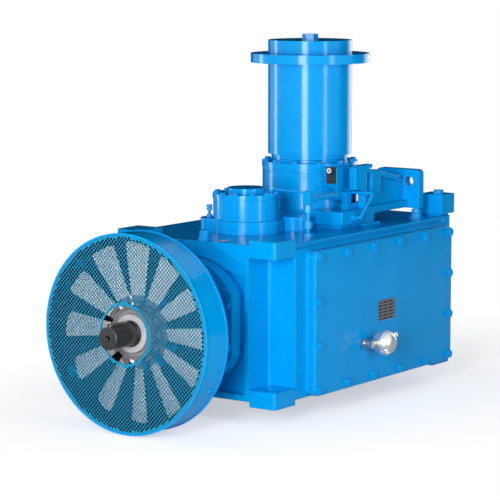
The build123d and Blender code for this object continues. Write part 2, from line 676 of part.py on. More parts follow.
def bevel_gear(teeth, mate_teeth, rim, back, space_first):
    """A straight bevel gear with its apex at the origin and its body towards +Z.

    The blank is turned and each tooth space is a pyramid that shrinks towards the apex."""
    slope = atan2(teeth, mate_teeth)
    reach = BEVEL_MODULE / 2 * hypot(teeth, mate_teeth)
    inner = 1 - BEVEL_FACE / reach
    dedendum = 1.25 * BEVEL_MODULE

    def on_back_cone(offset):
        return reach * sin(slope) + offset * cos(slope), reach * cos(slope) - offset * sin(slope)

    tip = on_back_cone(BEVEL_MODULE)
    heel = on_back_cone(-dedendum - rim)
    toe = (inner * tip[0], inner * tip[1])
    points = [(0, toe[1]), toe, tip, heel, (heel[0], back), (0, back)]
    blank = revolve(Plane.XZ * make_face(Polyline(*points, close=True)), Axis.Z)
    virtual_pitch = reach * tan(slope)
    virtual_teeth = teeth / cos(slope)
    virtual_base = virtual_pitch * cos(radians(PRESSURE_ANGLE))
    levels = [-dedendum + (1.3 * BEVEL_MODULE + dedendum) * i / FLANK_STEPS for i in range(FLANK_STEPS + 1)]
    widths = []
    for level in levels:
        tooth = half_tooth(virtual_pitch + level, virtual_pitch, virtual_base, virtual_teeth)
        widths.append((virtual_pitch + level) * sin(pi / virtual_teeth - tooth))
    corners = [(-w, s) for w, s in zip(widths, levels)] + [(w, s) for w, s in zip(widths[::-1], levels[::-1])]
    cutter_ends = []
    for scale in (1.04, inner * 0.9):
        centre = (scale * reach * sin(slope), 0, scale * reach * cos(slope))
        plane = Plane(centre, x_dir=(0, 1, 0), z_dir=(-sin(slope), 0, -cos(slope)))
        outline = Polyline(*[(w * scale, s * scale) for w, s in corners], close=True)
        cutter_ends.append(plane * make_face(outline))
    cutter = loft(cutter_ends, ruled=True)
    first = 0.0 if space_first else 0.5
    return blank - [Rot(0, 0, 360 / teeth * (index + first)) * cutter for index in range(teeth)]


# Input shaft, its bearings, carrier and seal
def shaft_key_block(clearance):
    """The parallel key on top of the shaft end, or its keyway when given a clearance."""
    start = SHAFT_END_X + KEY_INSET
    outline = SlotOverall(KEY_LENGTH + 2 * clearance, KEY_WIDTH + 2 * clearance)
    bottom = INPUT_Z + SHAFT_END_RADIUS - KEY_DEPTH
    return Pos(start + KEY_LENGTH / 2, 0, bottom) * extrude(outline, KEY_HEIGHT + clearance)


def make_input_shaft():
    bore, outside, width = INPUT_BEARING
    rear_end = INPUT_BEARING_REAR_X + width
    pinion_back = INTER_X - BEVEL_PINION_BACK
    end_face = SHAFT_END_X + SHAFT_END_LENGTH
    hub_back = FAN_HUB_FRONT_X + FAN_HUB_LENGTH
    tip = SHAFT_END_X + SHAFT_END_CHAMFER
    shaft = turned(INPUT_PLANE, [(SHAFT_END_X, SHAFT_END_X, SHAFT_END_RADIUS - SHAFT_END_CHAMFER),
                                 (tip, end_face, SHAFT_END_RADIUS), (end_face, hub_back, FAN_SEAT_RADIUS),
                                 (hub_back, INPUT_BEARING_FRONT_X, SEAL_SEAT_RADIUS),
                                 (INPUT_BEARING_FRONT_X, rear_end, bore),
                                 (rear_end, pinion_back + 1, bore + SHOULDER)])
    centre = Plane((SHAFT_END_X, 0, INPUT_Z), x_dir=(0, 1, 0), z_dir=(1, 0, 0))
    shaft -= turned(centre, [(-1, CENTRE_HOLE_RADIUS * 0.7, CENTRE_HOLE_RADIUS),
                             (CENTRE_HOLE_RADIUS * 0.7, CENTRE_HOLE_DEPTH, CENTRE_HOLE_RADIUS * 0.7)])
    pinion_plane = Plane((INTER_X, 0, INPUT_Z), x_dir=(0, 0, -1), z_dir=(-1, 0, 0))
    pinion = bevel_gear(BEVEL_PINION_TEETH, BEVEL_GEAR_TEETH, BEVEL_PINION_RIM, BEVEL_PINION_BACK, False)
    shaft += pinion_plane * pinion
    shaft -= shaft_key_block(FIT) + Pos(0, 0, KEY_HEIGHT) * shaft_key_block(FIT)
    save("input_shaft", shaft)
    save("shaft_key", shaft_key_block(0.0))
    inner = bearing_inner(INPUT_PLANE, INPUT_BEARING, INPUT_BEARING_FRONT_X)
    inner += bearing_inner(INPUT_PLANE, INPUT_BEARING, INPUT_BEARING_REAR_X)
    save("input_bearing_rollers", *inner)
    save("input_spacer", turned(INPUT_PLANE, [(INPUT_BEARING_FRONT_X + width, INPUT_BEARING_REAR_X,
                                               bore + SHOULDER)], bore + FIT))


def seal_cover_places(x):
    radius = (CARRIER_NECK_RADIUS + INPUT_BEARING[1]) / 2
    return [around_input(x, 30 + 60 * i) * Pos(radius, 0, 0) for i in range(SEAL_COVER_BOLTS)]


def bracket_foot_places(angle):
    """The two screw places on the foot of a cowl bracket, facing -X."""
    radius = (BRACKET_FOOT_RADIUS + BRACKET_BEND_RADIUS) / 2 - BRACKET_THICKNESS / 2
    front = CARRIER_FLANGE_FRONT_X - BRACKET_THICKNESS
    return [around_input(front, angle) * Pos(radius, side * BRACKET_WIDTH / 4, 0) for side in (-1, 1)]


def make_carrier():
    bore, outside, width = INPUT_BEARING
    front, rear = INPUT_BEARING_FRONT_X, INPUT_BEARING_REAR_X
    carrier = turned(INPUT_PLANE, [(front, CARRIER_FLANGE_FRONT_X, CARRIER_NECK_RADIUS),
                                   (CARRIER_FLANGE_FRONT_X, END_WALL_X, CARRIER_RADIUS),
                                   (END_WALL_X, END_WALL_X + WALL, CARRIER_SPIGOT_RADIUS),
                                   (END_WALL_X + WALL, rear + width, CARRIER_TUBE_RADIUS)],
                     CARRIER_LAND_RADIUS)
    keep = (CARRIER_FLANGE_FRONT_X - width * 2, rear + width * 2)
    carrier &= block(keep, (-CARRIER_FLAT, CARRIER_FLAT), (0, 2 * INPUT_Z))
    for start in (front, rear):
        carrier -= turned(INPUT_PLANE, [(start, start + width, outside + FIT)])
    for place in carrier_bolt_places(CARRIER_FLANGE_FRONT_X):
        carrier -= bolt_hole(place, CARRIER_BOLT, END_WALL_X - CARRIER_FLANGE_FRONT_X)
    for place in seal_cover_places(front):
        carrier -= bolt_hole(place, SEAL_COVER_BOLT, 2 * SEAL_COVER_BOLT)
    for angle in BRACKET_ANGLES:
        for place in bracket_foot_places(angle):
            carrier -= bolt_hole(place, COWL_SCREW, BRACKET_THICKNESS + 2 * COWL_SCREW)
    save("input_carrier", carrier)
    grip = END_WALL_X - CARRIER_FLANGE_FRONT_X + WALL * 0.8
    spots = carrier_bolt_places(CARRIER_FLANGE_FRONT_X)
    save("carrier_bolts", *[hex_bolt(spot, CARRIER_BOLT, grip) for spot in spots])
    save("input_outer_rings", *[bearing_outer(INPUT_PLANE, INPUT_BEARING, x) for x in (front, rear)])

    cover_front = front - SEAL_COVER_THICKNESS
    seal_radius = SEAL_SEAT_RADIUS + SEAL_WALL
    cover = turned(INPUT_PLANE, [(cover_front, front, CARRIER_NECK_RADIUS)], SEAL_SEAT_RADIUS + 2)
    cover -= turned(INPUT_PLANE, [(cover_front, cover_front + SEAL_WIDTH, seal_radius + FIT)])
    for place in seal_cover_places(cover_front):
        cover -= bolt_hole(place, SEAL_COVER_BOLT, SEAL_COVER_THICKNESS)
    save("input_seal_cover", cover)
    save("seal_cover_screws", *[hex_bolt(p, SEAL_COVER_BOLT, SEAL_COVER_THICKNESS + 1.5 * SEAL_COVER_BOLT)
                                for p in seal_cover_places(cover_front)])
    save("input_seal", turned(INPUT_PLANE, [(cover_front, cover_front + SEAL_WIDTH, seal_radius)],
                              SEAL_SEAT_RADIUS + RUNNING))


# Cooling fan
def blade_section(radius, chord, pitch):
    """A cambered section that lies across the blade at a radius."""
    sag = chord * BLADE_CAMBER
    half = chord / 2
    top = ThreePointArc((-half, 0), (0, sag), (half, 0))
    bottom = ThreePointArc((half, -BLADE_THICKNESS), (0, sag - BLADE_THICKNESS), (-half, -BLADE_THICKNESS))
    sides = Line(top @ 1, bottom @ 0) + Line(bottom @ 1, top @ 0)
    out = Plane((0, 0, radius), x_dir=(cos(radians(pitch)), sin(radians(pitch)), 0), z_dir=(0, 0, 1))
    return out * make_face(top + sides + bottom)


def make_fan():
    """A hub and pitched blades; each blade is built standing along +Z from the shaft axis."""
    plane = Plane((FAN_MID_X, 0, INPUT_Z), x_dir=(0, 1, 0), z_dir=(1, 0, 0))
    stand = Plane((0, 0, 0), x_dir=(0, -1, 0), z_dir=(1, 0, 0))
    blade = loft([blade_section(BLADE_ROOT_RADIUS, BLADE_ROOT_WIDTH, BLADE_PITCH + BLADE_TWIST),
                  blade_section(FAN_TIP_RADIUS, BLADE_TIP_WIDTH, BLADE_PITCH)])
    span = FAN_TIP_RADIUS - BLADE_ROOT_RADIUS
    outline = Rectangle(1.1 * BLADE_TIP_WIDTH, 2 * span)
    outline = fillet(outline.vertices(), BLADE_TIP_ROUND)
    view = Plane((0, 0, FAN_TIP_RADIUS - span), x_dir=(1, 0, 0), z_dir=(0, -1, 0))
    blade &= view * extrude(outline, BLADE_TIP_WIDTH, both=True)
    shank = Pos(0, 0, (FAN_HUB_RADIUS + BLADE_ROOT_RADIUS) / 2)
    blade += shank * Cylinder(BLADE_SHANK_RADIUS, BLADE_ROOT_RADIUS - FAN_HUB_RADIUS + 8)
    hub_front = FAN_HUB_FRONT_X - FAN_MID_X
    hub = turned(Plane.XY, [(hub_front, hub_front + FAN_HUB_LENGTH, FAN_HUB_RADIUS)], FAN_SEAT_RADIUS + FIT)
    fan = hub + [Rot(0, 0, 360 / FAN_BLADES * i) * (stand * blade) for i in range(FAN_BLADES)]
    save("fan", plane * fan)
    ring = turned(INPUT_PLANE, [(FAN_HUB_FRONT_X - CLAMP_RING_THICKNESS, FAN_HUB_FRONT_X, CLAMP_RING_RADIUS)],
                  FAN_SEAT_RADIUS + FIT)
    save("fan_clamp_ring", chamfer(ring.edges().filter_by(GeomType.CIRCLE).sort_by(Axis.X)[:2], 1.5))


def bracket_screw_places(radius):
    return [radial_place(BRACKET_SCREW_X, angle, radius) for angle in BRACKET_ANGLES]


def strip_outline(points, thickness):
    """The outline of a bent strip with a constant thickness, from the points of its middle line."""
    vectors = [Vector(*point) for point in points]
    left, right = [], []
    for index, here in enumerate(vectors):
        before = (here - vectors[index - 1]).normalized() if index else None
        after = (vectors[index + 1] - here).normalized() if index + 1 < len(vectors) else None
        along = before if after is None else after if before is None else (before + after).normalized()
        mitre = 1.0 if before is None or after is None else 1 / along.dot(after)
        normal = Vector(-along.Y, along.X) * (thickness / 2 * mitre)
        left.append(here + normal)
        right.append(here - normal)
    return make_face(Polyline(*left, *right[::-1], close=True))


def make_cowl():
    """The sheet drum round the fan, with a rolled bead at both rims and an inward lip in front."""
    back = COWL_FRONT_X + COWL_LENGTH
    inner = COWL_RADIUS - COWL_THICKNESS
    cowl = turned(INPUT_PLANE, [(COWL_FRONT_X, back, COWL_RADIUS)], inner)
    for x in (COWL_FRONT_X, back - BEAD_INSET - BEAD_SIZE):
        cowl += turned(INPUT_PLANE, [(x, x + 2 * BEAD_SIZE, COWL_RADIUS + BEAD_SIZE)], COWL_RADIUS - 1)
    lip_x = COWL_FRONT_X + SCREEN_THICKNESS + SCREEN_CLEARANCE
    cowl += turned(INPUT_PLANE, [(lip_x, lip_x + COWL_THICKNESS, inner + 1)], inner - COWL_LIP)
    for place in bracket_screw_places(COWL_RADIUS):
        cowl -= bolt_hole(place, COWL_SCREW, 2 * COWL_THICKNESS)
    save("fan_cowl", cowl)
    screen = turned(INPUT_PLANE, [(COWL_FRONT_X, COWL_FRONT_X + SCREEN_THICKNESS, inner - SCREEN_CLEARANCE)],
                    SCREEN_OPENING)
    save("cowl_screen", screen)

    flat = sqrt((inner - SCREEN_CLEARANCE) ** 2 - (BRACKET_WIDTH / 2) ** 2) - BRACKET_THICKNESS / 2
    foot_x = CARRIER_FLANGE_FRONT_X - BRACKET_THICKNESS / 2
    path = [(BRACKET_FOOT_RADIUS, foot_x), (BRACKET_BEND_RADIUS, foot_x),
            (BRACKET_BEND_RADIUS, foot_x - 2 * CARRIER_BOLT), (flat, back + 2 * BRACKET_THICKNESS),
            (flat, BRACKET_SCREW_X - BRACKET_WIDTH / 2)]
    brackets = []
    screws = []
    for angle in BRACKET_ANGLES:
        out = (0, -cos(radians(angle)), sin(radians(angle)))
        across = (0, sin(radians(angle)), cos(radians(angle)))
        plane = Plane((0, 0, INPUT_Z), x_dir=out, z_dir=across)
        sense = 1 if plane.y_dir.X > 0 else -1
        strip = strip_outline([(radius, sense * x) for radius, x in path], BRACKET_THICKNESS)
        bracket = plane * extrude(strip, BRACKET_WIDTH / 2, both=True)
        for place in bracket_foot_places(angle):
            bracket -= bolt_hole(place, COWL_SCREW, 2 * BRACKET_THICKNESS)
            screws.append(hex_bolt(place, COWL_SCREW, BRACKET_THICKNESS + 1.5 * COWL_SCREW))
        place = radial_place(BRACKET_SCREW_X, angle, COWL_RADIUS)
        bracket -= bolt_hole(place, COWL_SCREW, 4 * BRACKET_THICKNESS)
        brackets.append(bracket)
    save("cowl_brackets", *brackets)
    for place in bracket_screw_places(COWL_RADIUS + SEAT_GAP):
        screws.append(hex_bolt(place, COWL_SCREW, COWL_THICKNESS + 2 * BRACKET_THICKNESS))
    save("cowl_screws", *screws)


# Intermediate shaft with its bearings and the stack on the roof
def make_intermediate():
    low_bore, low_width = INTER_BEARING_LOW[0], INTER_BEARING_LOW[2]
    high_bore, high_width = INTER_BEARING_HIGH[0], INTER_BEARING_HIGH[2]
    pinion_width = WHEEL_WIDTH + PINION_EXTRA_WIDTH
    pinion_low = WHEEL_MID_Z - pinion_width / 2
    pinion_high = WHEEL_MID_Z + pinion_width / 2
    gear_back_z = INPUT_Z - BEVEL_GEAR_BACK
    gear_front_z = INPUT_Z - bevel_front()
    seat = high_bore + 5
    nut_low = gear_back_z - NUT_HEIGHT
    shaft = turned(INTER_PLANE, [(INTER_BEARING_LOW_Z, INTER_BEARING_LOW_Z + low_width, low_bore),
                                 (INTER_BEARING_LOW_Z + low_width, nut_low, low_bore + SHOULDER),
                                 (nut_low, gear_back_z, seat - 2), (gear_back_z, gear_front_z, seat),
                                 (gear_front_z, pinion_low + 1, seat + SHOULDER),
                                 (pinion_low + 1, pinion_high - 1, seat + SHOULDER),
                                 (pinion_high - 1, INTER_BEARING_HIGH_Z, high_bore + SHOULDER),
                                 (INTER_BEARING_HIGH_Z, INTER_BEARING_HIGH_Z + high_width, high_bore)])
    pinion = helical_gear(PINION_TEETH, pinion_width, -1, False)
    shaft += Pos(INTER_X, 0, WHEEL_MID_Z) * pinion
    save("intermediate_shaft", shaft)
    gear_plane = Plane((INTER_X, 0, INPUT_Z), x_dir=(-1, 0, 0), z_dir=(0, 0, -1))
    blank = bevel_gear(BEVEL_GEAR_TEETH, BEVEL_PINION_TEETH, BEVEL_GEAR_RIM, BEVEL_GEAR_BACK, True)
    gear = gear_plane * blank
    gear -= turned(INTER_PLANE, [(gear_back_z - 1, gear_front_z + 1, seat + FIT)])
    save("bevel_gear", gear)
    nut = RegularPolygon(NUT_RADIUS, 8)
    nut = Pos(INTER_X, 0, nut_low) * extrude(nut, NUT_HEIGHT)
    save("shaft_nut", nut - turned(INTER_PLANE, [(nut_low - 1, gear_back_z + 1, seat - 2 + FIT)]))
    inner = bearing_inner(INTER_PLANE, INTER_BEARING_LOW, INTER_BEARING_LOW_Z)
    inner += bearing_inner(INTER_PLANE, INTER_BEARING_HIGH, INTER_BEARING_HIGH_Z)
    save("intermediate_bearing_rollers", *inner)
    save("intermediate_outer_rings", bearing_outer(INTER_PLANE, INTER_BEARING_LOW, INTER_BEARING_LOW_Z),
         bearing_outer(INTER_PLANE, INTER_BEARING_HIGH, INTER_BEARING_HIGH_Z))


def bevel_front():
    """How far below the input axis the flat top of the bevel gear lies."""
    slope = atan2(BEVEL_GEAR_TEETH, BEVEL_PINION_TEETH)
    reach = BEVEL_MODULE / 2 * hypot(BEVEL_GEAR_TEETH, BEVEL_PINION_TEETH)
    return (1 - BEVEL_FACE / reach) * (reach * cos(slope) - BEVEL_MODULE * sin(slope))


def make_stack():
    outside, width = INTER_BEARING_HIGH[1:]
    base = turned(INTER_PLANE, [(TOP_Z - SPIGOT_DEPTH, TOP_Z, STACK_SPIGOT_RADIUS),
                                (TOP_Z, STACK_BASE_TOP, STACK_BASE_RADIUS),
                                (STACK_BASE_TOP, STACK_BODY_TOP, STACK_BODY_RADIUS)], STACK_THROAT_RADIUS)
    for angle, distance in LOBES:
        lobe = Pos(INTER_X, 0, TOP_Z) * Rot(0, 0, angle) * Pos(distance, 0, 0)
        base += lobe * extrude(Circle(LOBE_RADIUS), LOBE_TOP_Z - TOP_Z)
    base -= turned(INTER_PLANE, [(TOP_Z - SPIGOT_DEPTH, INTER_BEARING_HIGH_Z, STACK_THROAT_RADIUS)])
    base -= turned(INTER_PLANE, [(INTER_BEARING_HIGH_Z, STACK_BODY_TOP, outside + FIT)])
    rim_top = STACK_BODY_TOP + STACK_RIM_HEIGHT
    ring_low = INTER_BEARING_HIGH_Z + width
    cap = turned(INTER_PLANE, [(ring_low, STACK_BODY_TOP, outside),
                               (STACK_BODY_TOP, rim_top, STACK_RIM_RADIUS),
                               (rim_top, STACK_CAP_TOP, STACK_CAP_RADIUS)])
    hollow_top = STACK_CAP_TOP - STACK_CAP_WALL
    cap -= turned(INTER_PLANE, [(ring_low - 1, STACK_BODY_TOP, outside - 2 * STACK_CAP_WALL),
                                (STACK_BODY_TOP, hollow_top, STACK_CAP_RADIUS - STACK_CAP_WALL)])
    for place in stack_bolt_places(rim_top):
        hole = bolt_hole(place, STACK_BOLT, rim_top - TOP_Z)
        base -= hole
        cap -= hole
    save("intermediate_bearing_housing", base)
    save("intermediate_bearing_cap", cap)
    grip = rim_top - TOP_Z + ROOF * 0.7
    save("stack_bolts", *[hex_bolt(spot, STACK_BOLT, grip) for spot in stack_bolt_places(rim_top)])


# Output shaft with its wheel and bearings, and the tower that holds it
def make_output():
    low_bore, low_width = OUTPUT_BEARING_LOW[0], OUTPUT_BEARING_LOW[2]
    high_bore, high_width = OUTPUT_BEARING_HIGH[0], OUTPUT_BEARING_HIGH[2]
    wheel_low = WHEEL_MID_Z - WHEEL_WIDTH / 2
    wheel_high = WHEEL_MID_Z + WHEEL_WIDTH / 2
    low_end = OUTPUT_BEARING_LOW_Z + low_width
    seat = high_bore + 3
    high_end = OUTPUT_BEARING_HIGH_Z + high_width
    plate_low = HUB_TOP_Z - END_PLATE_THICKNESS
    shaft = turned(OUTPUT_PLANE, [(OUTPUT_BEARING_LOW_Z, low_end, low_bore),
                                  (low_end, wheel_low - 2 * SHOULDER, low_bore + SHOULDER),
                                  (wheel_low - 2 * SHOULDER, wheel_low, seat + 2 * SHOULDER),
                                  (wheel_low, OUTPUT_BEARING_HIGH_Z, seat),
                                  (OUTPUT_BEARING_HIGH_Z, high_end, high_bore),
                                  (high_end, HUB_BOTTOM_Z, OUTPUT_SEAL_SEAT_RADIUS),
                                  (HUB_BOTTOM_Z, HUB_RECESS_BOTTOM_Z, HUB_BORE_RADIUS),
                                  (HUB_RECESS_BOTTOM_Z, plate_low - 2, HUB_BORE_RADIUS - 4)])
    top = OUTPUT_PLANE * Pos(0, 0, HUB_TOP_Z)
    shaft -= bolt_hole(top, END_BOLT, END_BOLT_GRIP + END_PLATE_THICKNESS)
    save("output_shaft", shaft)

    wheel = Pos(OUTPUT_X, 0, WHEEL_MID_Z) * helical_gear(WHEEL_TEETH, WHEEL_WIDTH, 1, False)
    web_outer = (WHEEL_TEETH * TRANSVERSE_MODULE / 2) - 1.25 * NORMAL_MODULE - WHEEL_RIM
    web_low = WHEEL_MID_Z - WHEEL_WEB / 2
    web_high = WHEEL_MID_Z + WHEEL_WEB / 2
    for low, high in ((wheel_low - 1, web_low), (web_high, wheel_high + 1)):
        wheel -= turned(OUTPUT_PLANE, [(low, high, web_outer)], WHEEL_HUB_RADIUS)
    for place in ring_places(OUTPUT_PLANE, (web_outer + WHEEL_HUB_RADIUS) / 2, WHEEL_HOLES, WHEEL_MID_Z):
        wheel -= place * Cylinder(WHEEL_HOLE_RADIUS, 2 * WHEEL_WEB)
    wheel -= turned(OUTPUT_PLANE, [(wheel_low - 1, wheel_high + 1, seat + FIT)])
    save("output_wheel", wheel)
    inner = bearing_inner(OUTPUT_PLANE, OUTPUT_BEARING_LOW, OUTPUT_BEARING_LOW_Z)
    inner += bearing_inner(OUTPUT_PLANE, OUTPUT_BEARING_HIGH, OUTPUT_BEARING_HIGH_Z)
    save("output_bearing_rollers", *inner)
    save("output_outer_rings", bearing_outer(OUTPUT_PLANE, OUTPUT_BEARING_LOW, OUTPUT_BEARING_LOW_Z),
         bearing_outer(OUTPUT_PLANE, OUTPUT_BEARING_HIGH, OUTPUT_BEARING_HIGH_Z))
    sleeve = turned(OUTPUT_PLANE, [(wheel_high, OUTPUT_BEARING_HIGH_Z, seat + SHOULDER)], seat + FIT)
    save("output_spacer", sleeve)


def make_tower():
    outside, width = OUTPUT_BEARING_HIGH[1:]
    rim_low = TOWER_TOP - TOWER_RIM_HEIGHT
    groove_top = TOWER_GROOVE_Z + TOWER_GROOVE_HEIGHT
    tower = turned(OUTPUT_PLANE, [(TOP_Z - SPIGOT_DEPTH, TOP_Z, TOWER_SPIGOT_RADIUS),
                                  (TOP_Z, TOP_Z + TOWER_FLANGE_HEIGHT, TOWER_FLANGE_RADIUS),
                                  (TOP_Z + TOWER_FLANGE_HEIGHT, TOWER_GROOVE_Z, TOWER_RADIUS),
                                  (TOWER_GROOVE_Z, groove_top, TOWER_RADIUS - TOWER_GROOVE_DEPTH),
                                  (groove_top, rim_low, TOWER_RADIUS)], TOWER_THROAT_RADIUS)
    tower -= turned(OUTPUT_PLANE, [(OUTPUT_BEARING_HIGH_Z, rim_low, outside + FIT)])
    ring_low = OUTPUT_BEARING_HIGH_Z + width
    seal_radius = OUTPUT_SEAL_SEAT_RADIUS + SEAL_WALL
    neck_top = TOWER_TOP + NECK_HEIGHT
    cover = turned(OUTPUT_PLANE, [(ring_low, rim_low, outside), (rim_low, TOWER_TOP, TOWER_RIM_RADIUS),
                                  (TOWER_TOP, neck_top, NECK_RADIUS)], OUTPUT_SEAL_SEAT_RADIUS + 3)
    cover -= turned(OUTPUT_PLANE, [(ring_low - 1, rim_low, outside - 2 * SEAL_WALL)])
    cover -= turned(OUTPUT_PLANE, [(neck_top - SEAL_WIDTH, neck_top, seal_radius + FIT)])
    for place in tower_bolt_places(TOWER_TOP):
        hole = bolt_hole(place, TOWER_BOLT, TOWER_TOP - TOP_Z)
        tower -= hole
        cover -= hole
    save("output_bearing_housing", tower)
    save("output_seal_cover", cover)
    save("output_seal", turned(OUTPUT_PLANE, [(neck_top - SEAL_WIDTH, neck_top, seal_radius)],
                               OUTPUT_SEAL_SEAT_RADIUS + RUNNING))
    grip = TOWER_TOP - TOP_Z + ROOF * 0.7
    save("tower_bolts", *[hex_bolt(spot, TOWER_BOLT, grip) for spot in tower_bolt_places(TOWER_TOP)])


def make_hub():
    flange_top = HUB_FLANGE_BOTTOM_Z + HUB_FLANGE_THICKNESS
    plate_low = HUB_TOP_Z - END_PLATE_THICKNESS
    hub = turned(OUTPUT_PLANE, [(HUB_BOTTOM_Z, HUB_FLANGE_BOTTOM_Z, HUB_RADIUS),
                                (HUB_FLANGE_BOTTOM_Z, flange_top, HUB_FLANGE_RADIUS),
                                (flange_top, HUB_TOP_Z, HUB_RADIUS)], HUB_BORE_RADIUS + FIT)
    hub -= turned(OUTPUT_PLANE, [(HUB_RECESS_BOTTOM_Z, plate_low, HUB_RECESS_RADIUS - 2 * SHOULDER),
                                 (plate_low, HUB_TOP_Z + 1, HUB_RECESS_RADIUS)])
    for place in ring_places(OUTPUT_PLANE, HUB_FLANGE_BOLT_CIRCLE, HUB_FLANGE_BOLTS, flange_top):
        hub -= place * Cylinder(HUB_FLANGE_HOLE / 2, 3 * HUB_FLANGE_THICKNESS)
    angle = radians(HUB_PLUG_ANGLE)
    out = (cos(angle), sin(angle), 0)
    inner = HUB_RADIUS - HUB_PLUG_LENGTH - 4
    plug_place = Plane((OUTPUT_X + inner * out[0], inner * out[1], HUB_PLUG_Z), x_dir=(0, 0, 1), z_dir=out)
    depth = extrude(Circle(HUB_PLUG_RADIUS + FIT), HUB_PLUG_LENGTH + 20)
    hub -= plug_place * depth
    save("output_hub", hub)
    save("hub_plug", plug_place * extrude(Circle(HUB_PLUG_RADIUS), HUB_PLUG_LENGTH))
    labyrinth_low = TOWER_TOP + NECK_HEIGHT + NECK_GAP
    save("labyrinth_ring", turned(OUTPUT_PLANE, [(labyrinth_low, HUB_BOTTOM_Z, NECK_RADIUS)],
                                  OUTPUT_SEAL_SEAT_RADIUS + FIT))
    plate = turned(OUTPUT_PLANE, [(plate_low, HUB_TOP_Z, HUB_RECESS_RADIUS - FIT)])
    top = OUTPUT_PLANE * Pos(0, 0, HUB_TOP_Z)
    save("hub_end_plate", plate - bolt_hole(top, END_BOLT, 2 * END_PLATE_THICKNESS))
    save("hub_end_bolt", hex_bolt(top, END_BOLT, END_BOLT_GRIP))


# Forced oil supply: pump block, manifold, valve block, rigid pipes and their fittings
def tower_clearance():
    """The space that the tower takes, with a small gap all round, cut from what stands beside it."""
    flange_top = TOP_Z + TOWER_FLANGE_HEIGHT + SEAT_GAP
    return turned(OUTPUT_PLANE, [(TOP_Z - 1, flange_top, TOWER_FLANGE_RADIUS + SEAT_GAP),
                                 (flange_top, TOWER_TOP, TOWER_RIM_RADIUS + SEAT_GAP)])


def pipe(points, radius, bend):
    """A bent pipe through the given corners."""
    route = FilletPolyline(*points, radius=bend) if len(points) > 2 else Line(*points)
    start = Plane(route @ 0, z_dir=route % 0)
    return sweep(start * Circle(radius), path=route)


def union_nut(point, direction, across, length, pipe_radius):
    """A hexagon union nut on a pipe, starting at the point."""
    place = Plane(point, z_dir=direction)
    hexagon = RegularPolygon(across / 2, 6, major_radius=False)
    return place * extrude(hexagon - Circle(pipe_radius + FIT), length)


def make_oil_supply():
    pump = block(PUMP_X, PUMP_Y, PUMP_Z)
    pump = chamfer(pump.edges().filter_by(Axis.Z), 3.0)
    foot_x = (PUMP_X[0] + PUMP_FOOT_INSET, PUMP_X[1] - PUMP_FOOT_INSET)
    foot_y = (PUMP_Y[0] + PUMP_FOOT_INSET, PUMP_Y[1])
    pump += block(foot_x, foot_y, (TOP_Z, PUMP_Z[0]))
    pump -= tower_clearance()
    save("oil_pump_block", pump)
    manifold = block(MANIFOLD_X, MANIFOLD_Y, MANIFOLD_Z)
    manifold = chamfer(manifold.edges().filter_by(Axis.Z), 2.0) - tower_clearance()
    save("oil_manifold", manifold)
    valve = block(VALVE_X, VALVE_Y, VALVE_Z)
    stem_x = (VALVE_X[0] + VALVE_X[1]) / 2 - 30
    valve += block((stem_x - 15, stem_x + 15), (MANIFOLD_Y[0] - SEAT_GAP - 20, MANIFOLD_Y[0] - SEAT_GAP),
                   (VALVE_Z[1], MANIFOLD_Z[0] + 25))
    save("oil_valve_block", valve)

    riser = pipe([(RISER_X, RISER_Y, TOP_Z), (RISER_X, RISER_Y, TEE_Z)], RISER_RADIUS, 0)
    tee_reach = TEE_SIZE / 2
    banjo = (INTER_X + BANJO_X, BANJO_Y, STACK_BODY_TOP + STACK_RIM_HEIGHT)
    cross_z = TEE_Z + TEE_SIZE * 0.55
    cross_start = (banjo[0], banjo[1] - 10, cross_z)
    cross = pipe([cross_start, (RISER_X, RISER_Y + tee_reach + 1, cross_z)], CROSS_RADIUS, 0)
    link_end = (MANIFOLD_X[0] - SEAT_GAP, MANIFOLD_Y[0] + 20, MANIFOLD_Z[0] + 24)
    link_z = TEE_Z - TEE_SIZE * 0.2
    link = pipe([(RISER_X + tee_reach, RISER_Y, link_z), (link_end[0] - 90, RISER_Y, link_z),
                 (link_end[0] - 40, link_end[1], link_end[2]), link_end], RISER_RADIUS, 14)
    loop_start = (LOOP_X, PUMP_Y[0], LOOP_Z)
    loop_end = (PUMP_X[1] - 7, MANIFOLD_Y[0] - SEAT_GAP, LOOP_TOP_Z)
    loop = pipe([loop_start, (LOOP_X, LOOP_Y, LOOP_Z), (PUMP_X[1], LOOP_Y - 4, LOOP_TOP_Z),
                 (loop_end[0], LOOP_Y + 20, LOOP_TOP_Z), loop_end], LOOP_RADIUS, 9)
    save("oil_pipes", riser, cross, link, loop)

    tee_low = TEE_Z - TEE_SIZE
    tee = Pos(RISER_X, RISER_Y, TEE_Z) * Box(TEE_SIZE, TEE_SIZE, 1.5 * TEE_SIZE)
    tee -= Pos(RISER_X, RISER_Y, tee_low + TEE_SIZE / 2) * Cylinder(RISER_RADIUS + FIT, TEE_SIZE)
    tee = chamfer(tee.edges().filter_by(Axis.Z), 2.0)
    unions = [union_nut((RISER_X, RISER_Y, TOP_Z), (0, 0, 1), 32, 10, RISER_RADIUS),
              union_nut((RISER_X, RISER_Y, TOP_Z + 26), (0, 0, 1), 26, 22, RISER_RADIUS),
              union_nut((RISER_X, RISER_Y, TEE_Z - 0.75 * TEE_SIZE - 26), (0, 0, 1), 26, 24, RISER_RADIUS),
              union_nut((RISER_X + tee_reach, RISER_Y, link_z), (1, 0, 0), 24, 20, RISER_RADIUS),
              union_nut(link_end, (-1, 0, 0), 26, 22, RISER_RADIUS),
              Pos(*banjo) * extrude(RegularPolygon(8, 6, major_radius=False), cross_z - banjo[2] + 6),
              union_nut(loop_start, (0, -1, 0), 24, 14, LOOP_RADIUS),
              union_nut(loop_end, (0, -1, 0), 20, 12, LOOP_RADIUS)]
    save("pipe_unions", tee, *unions)


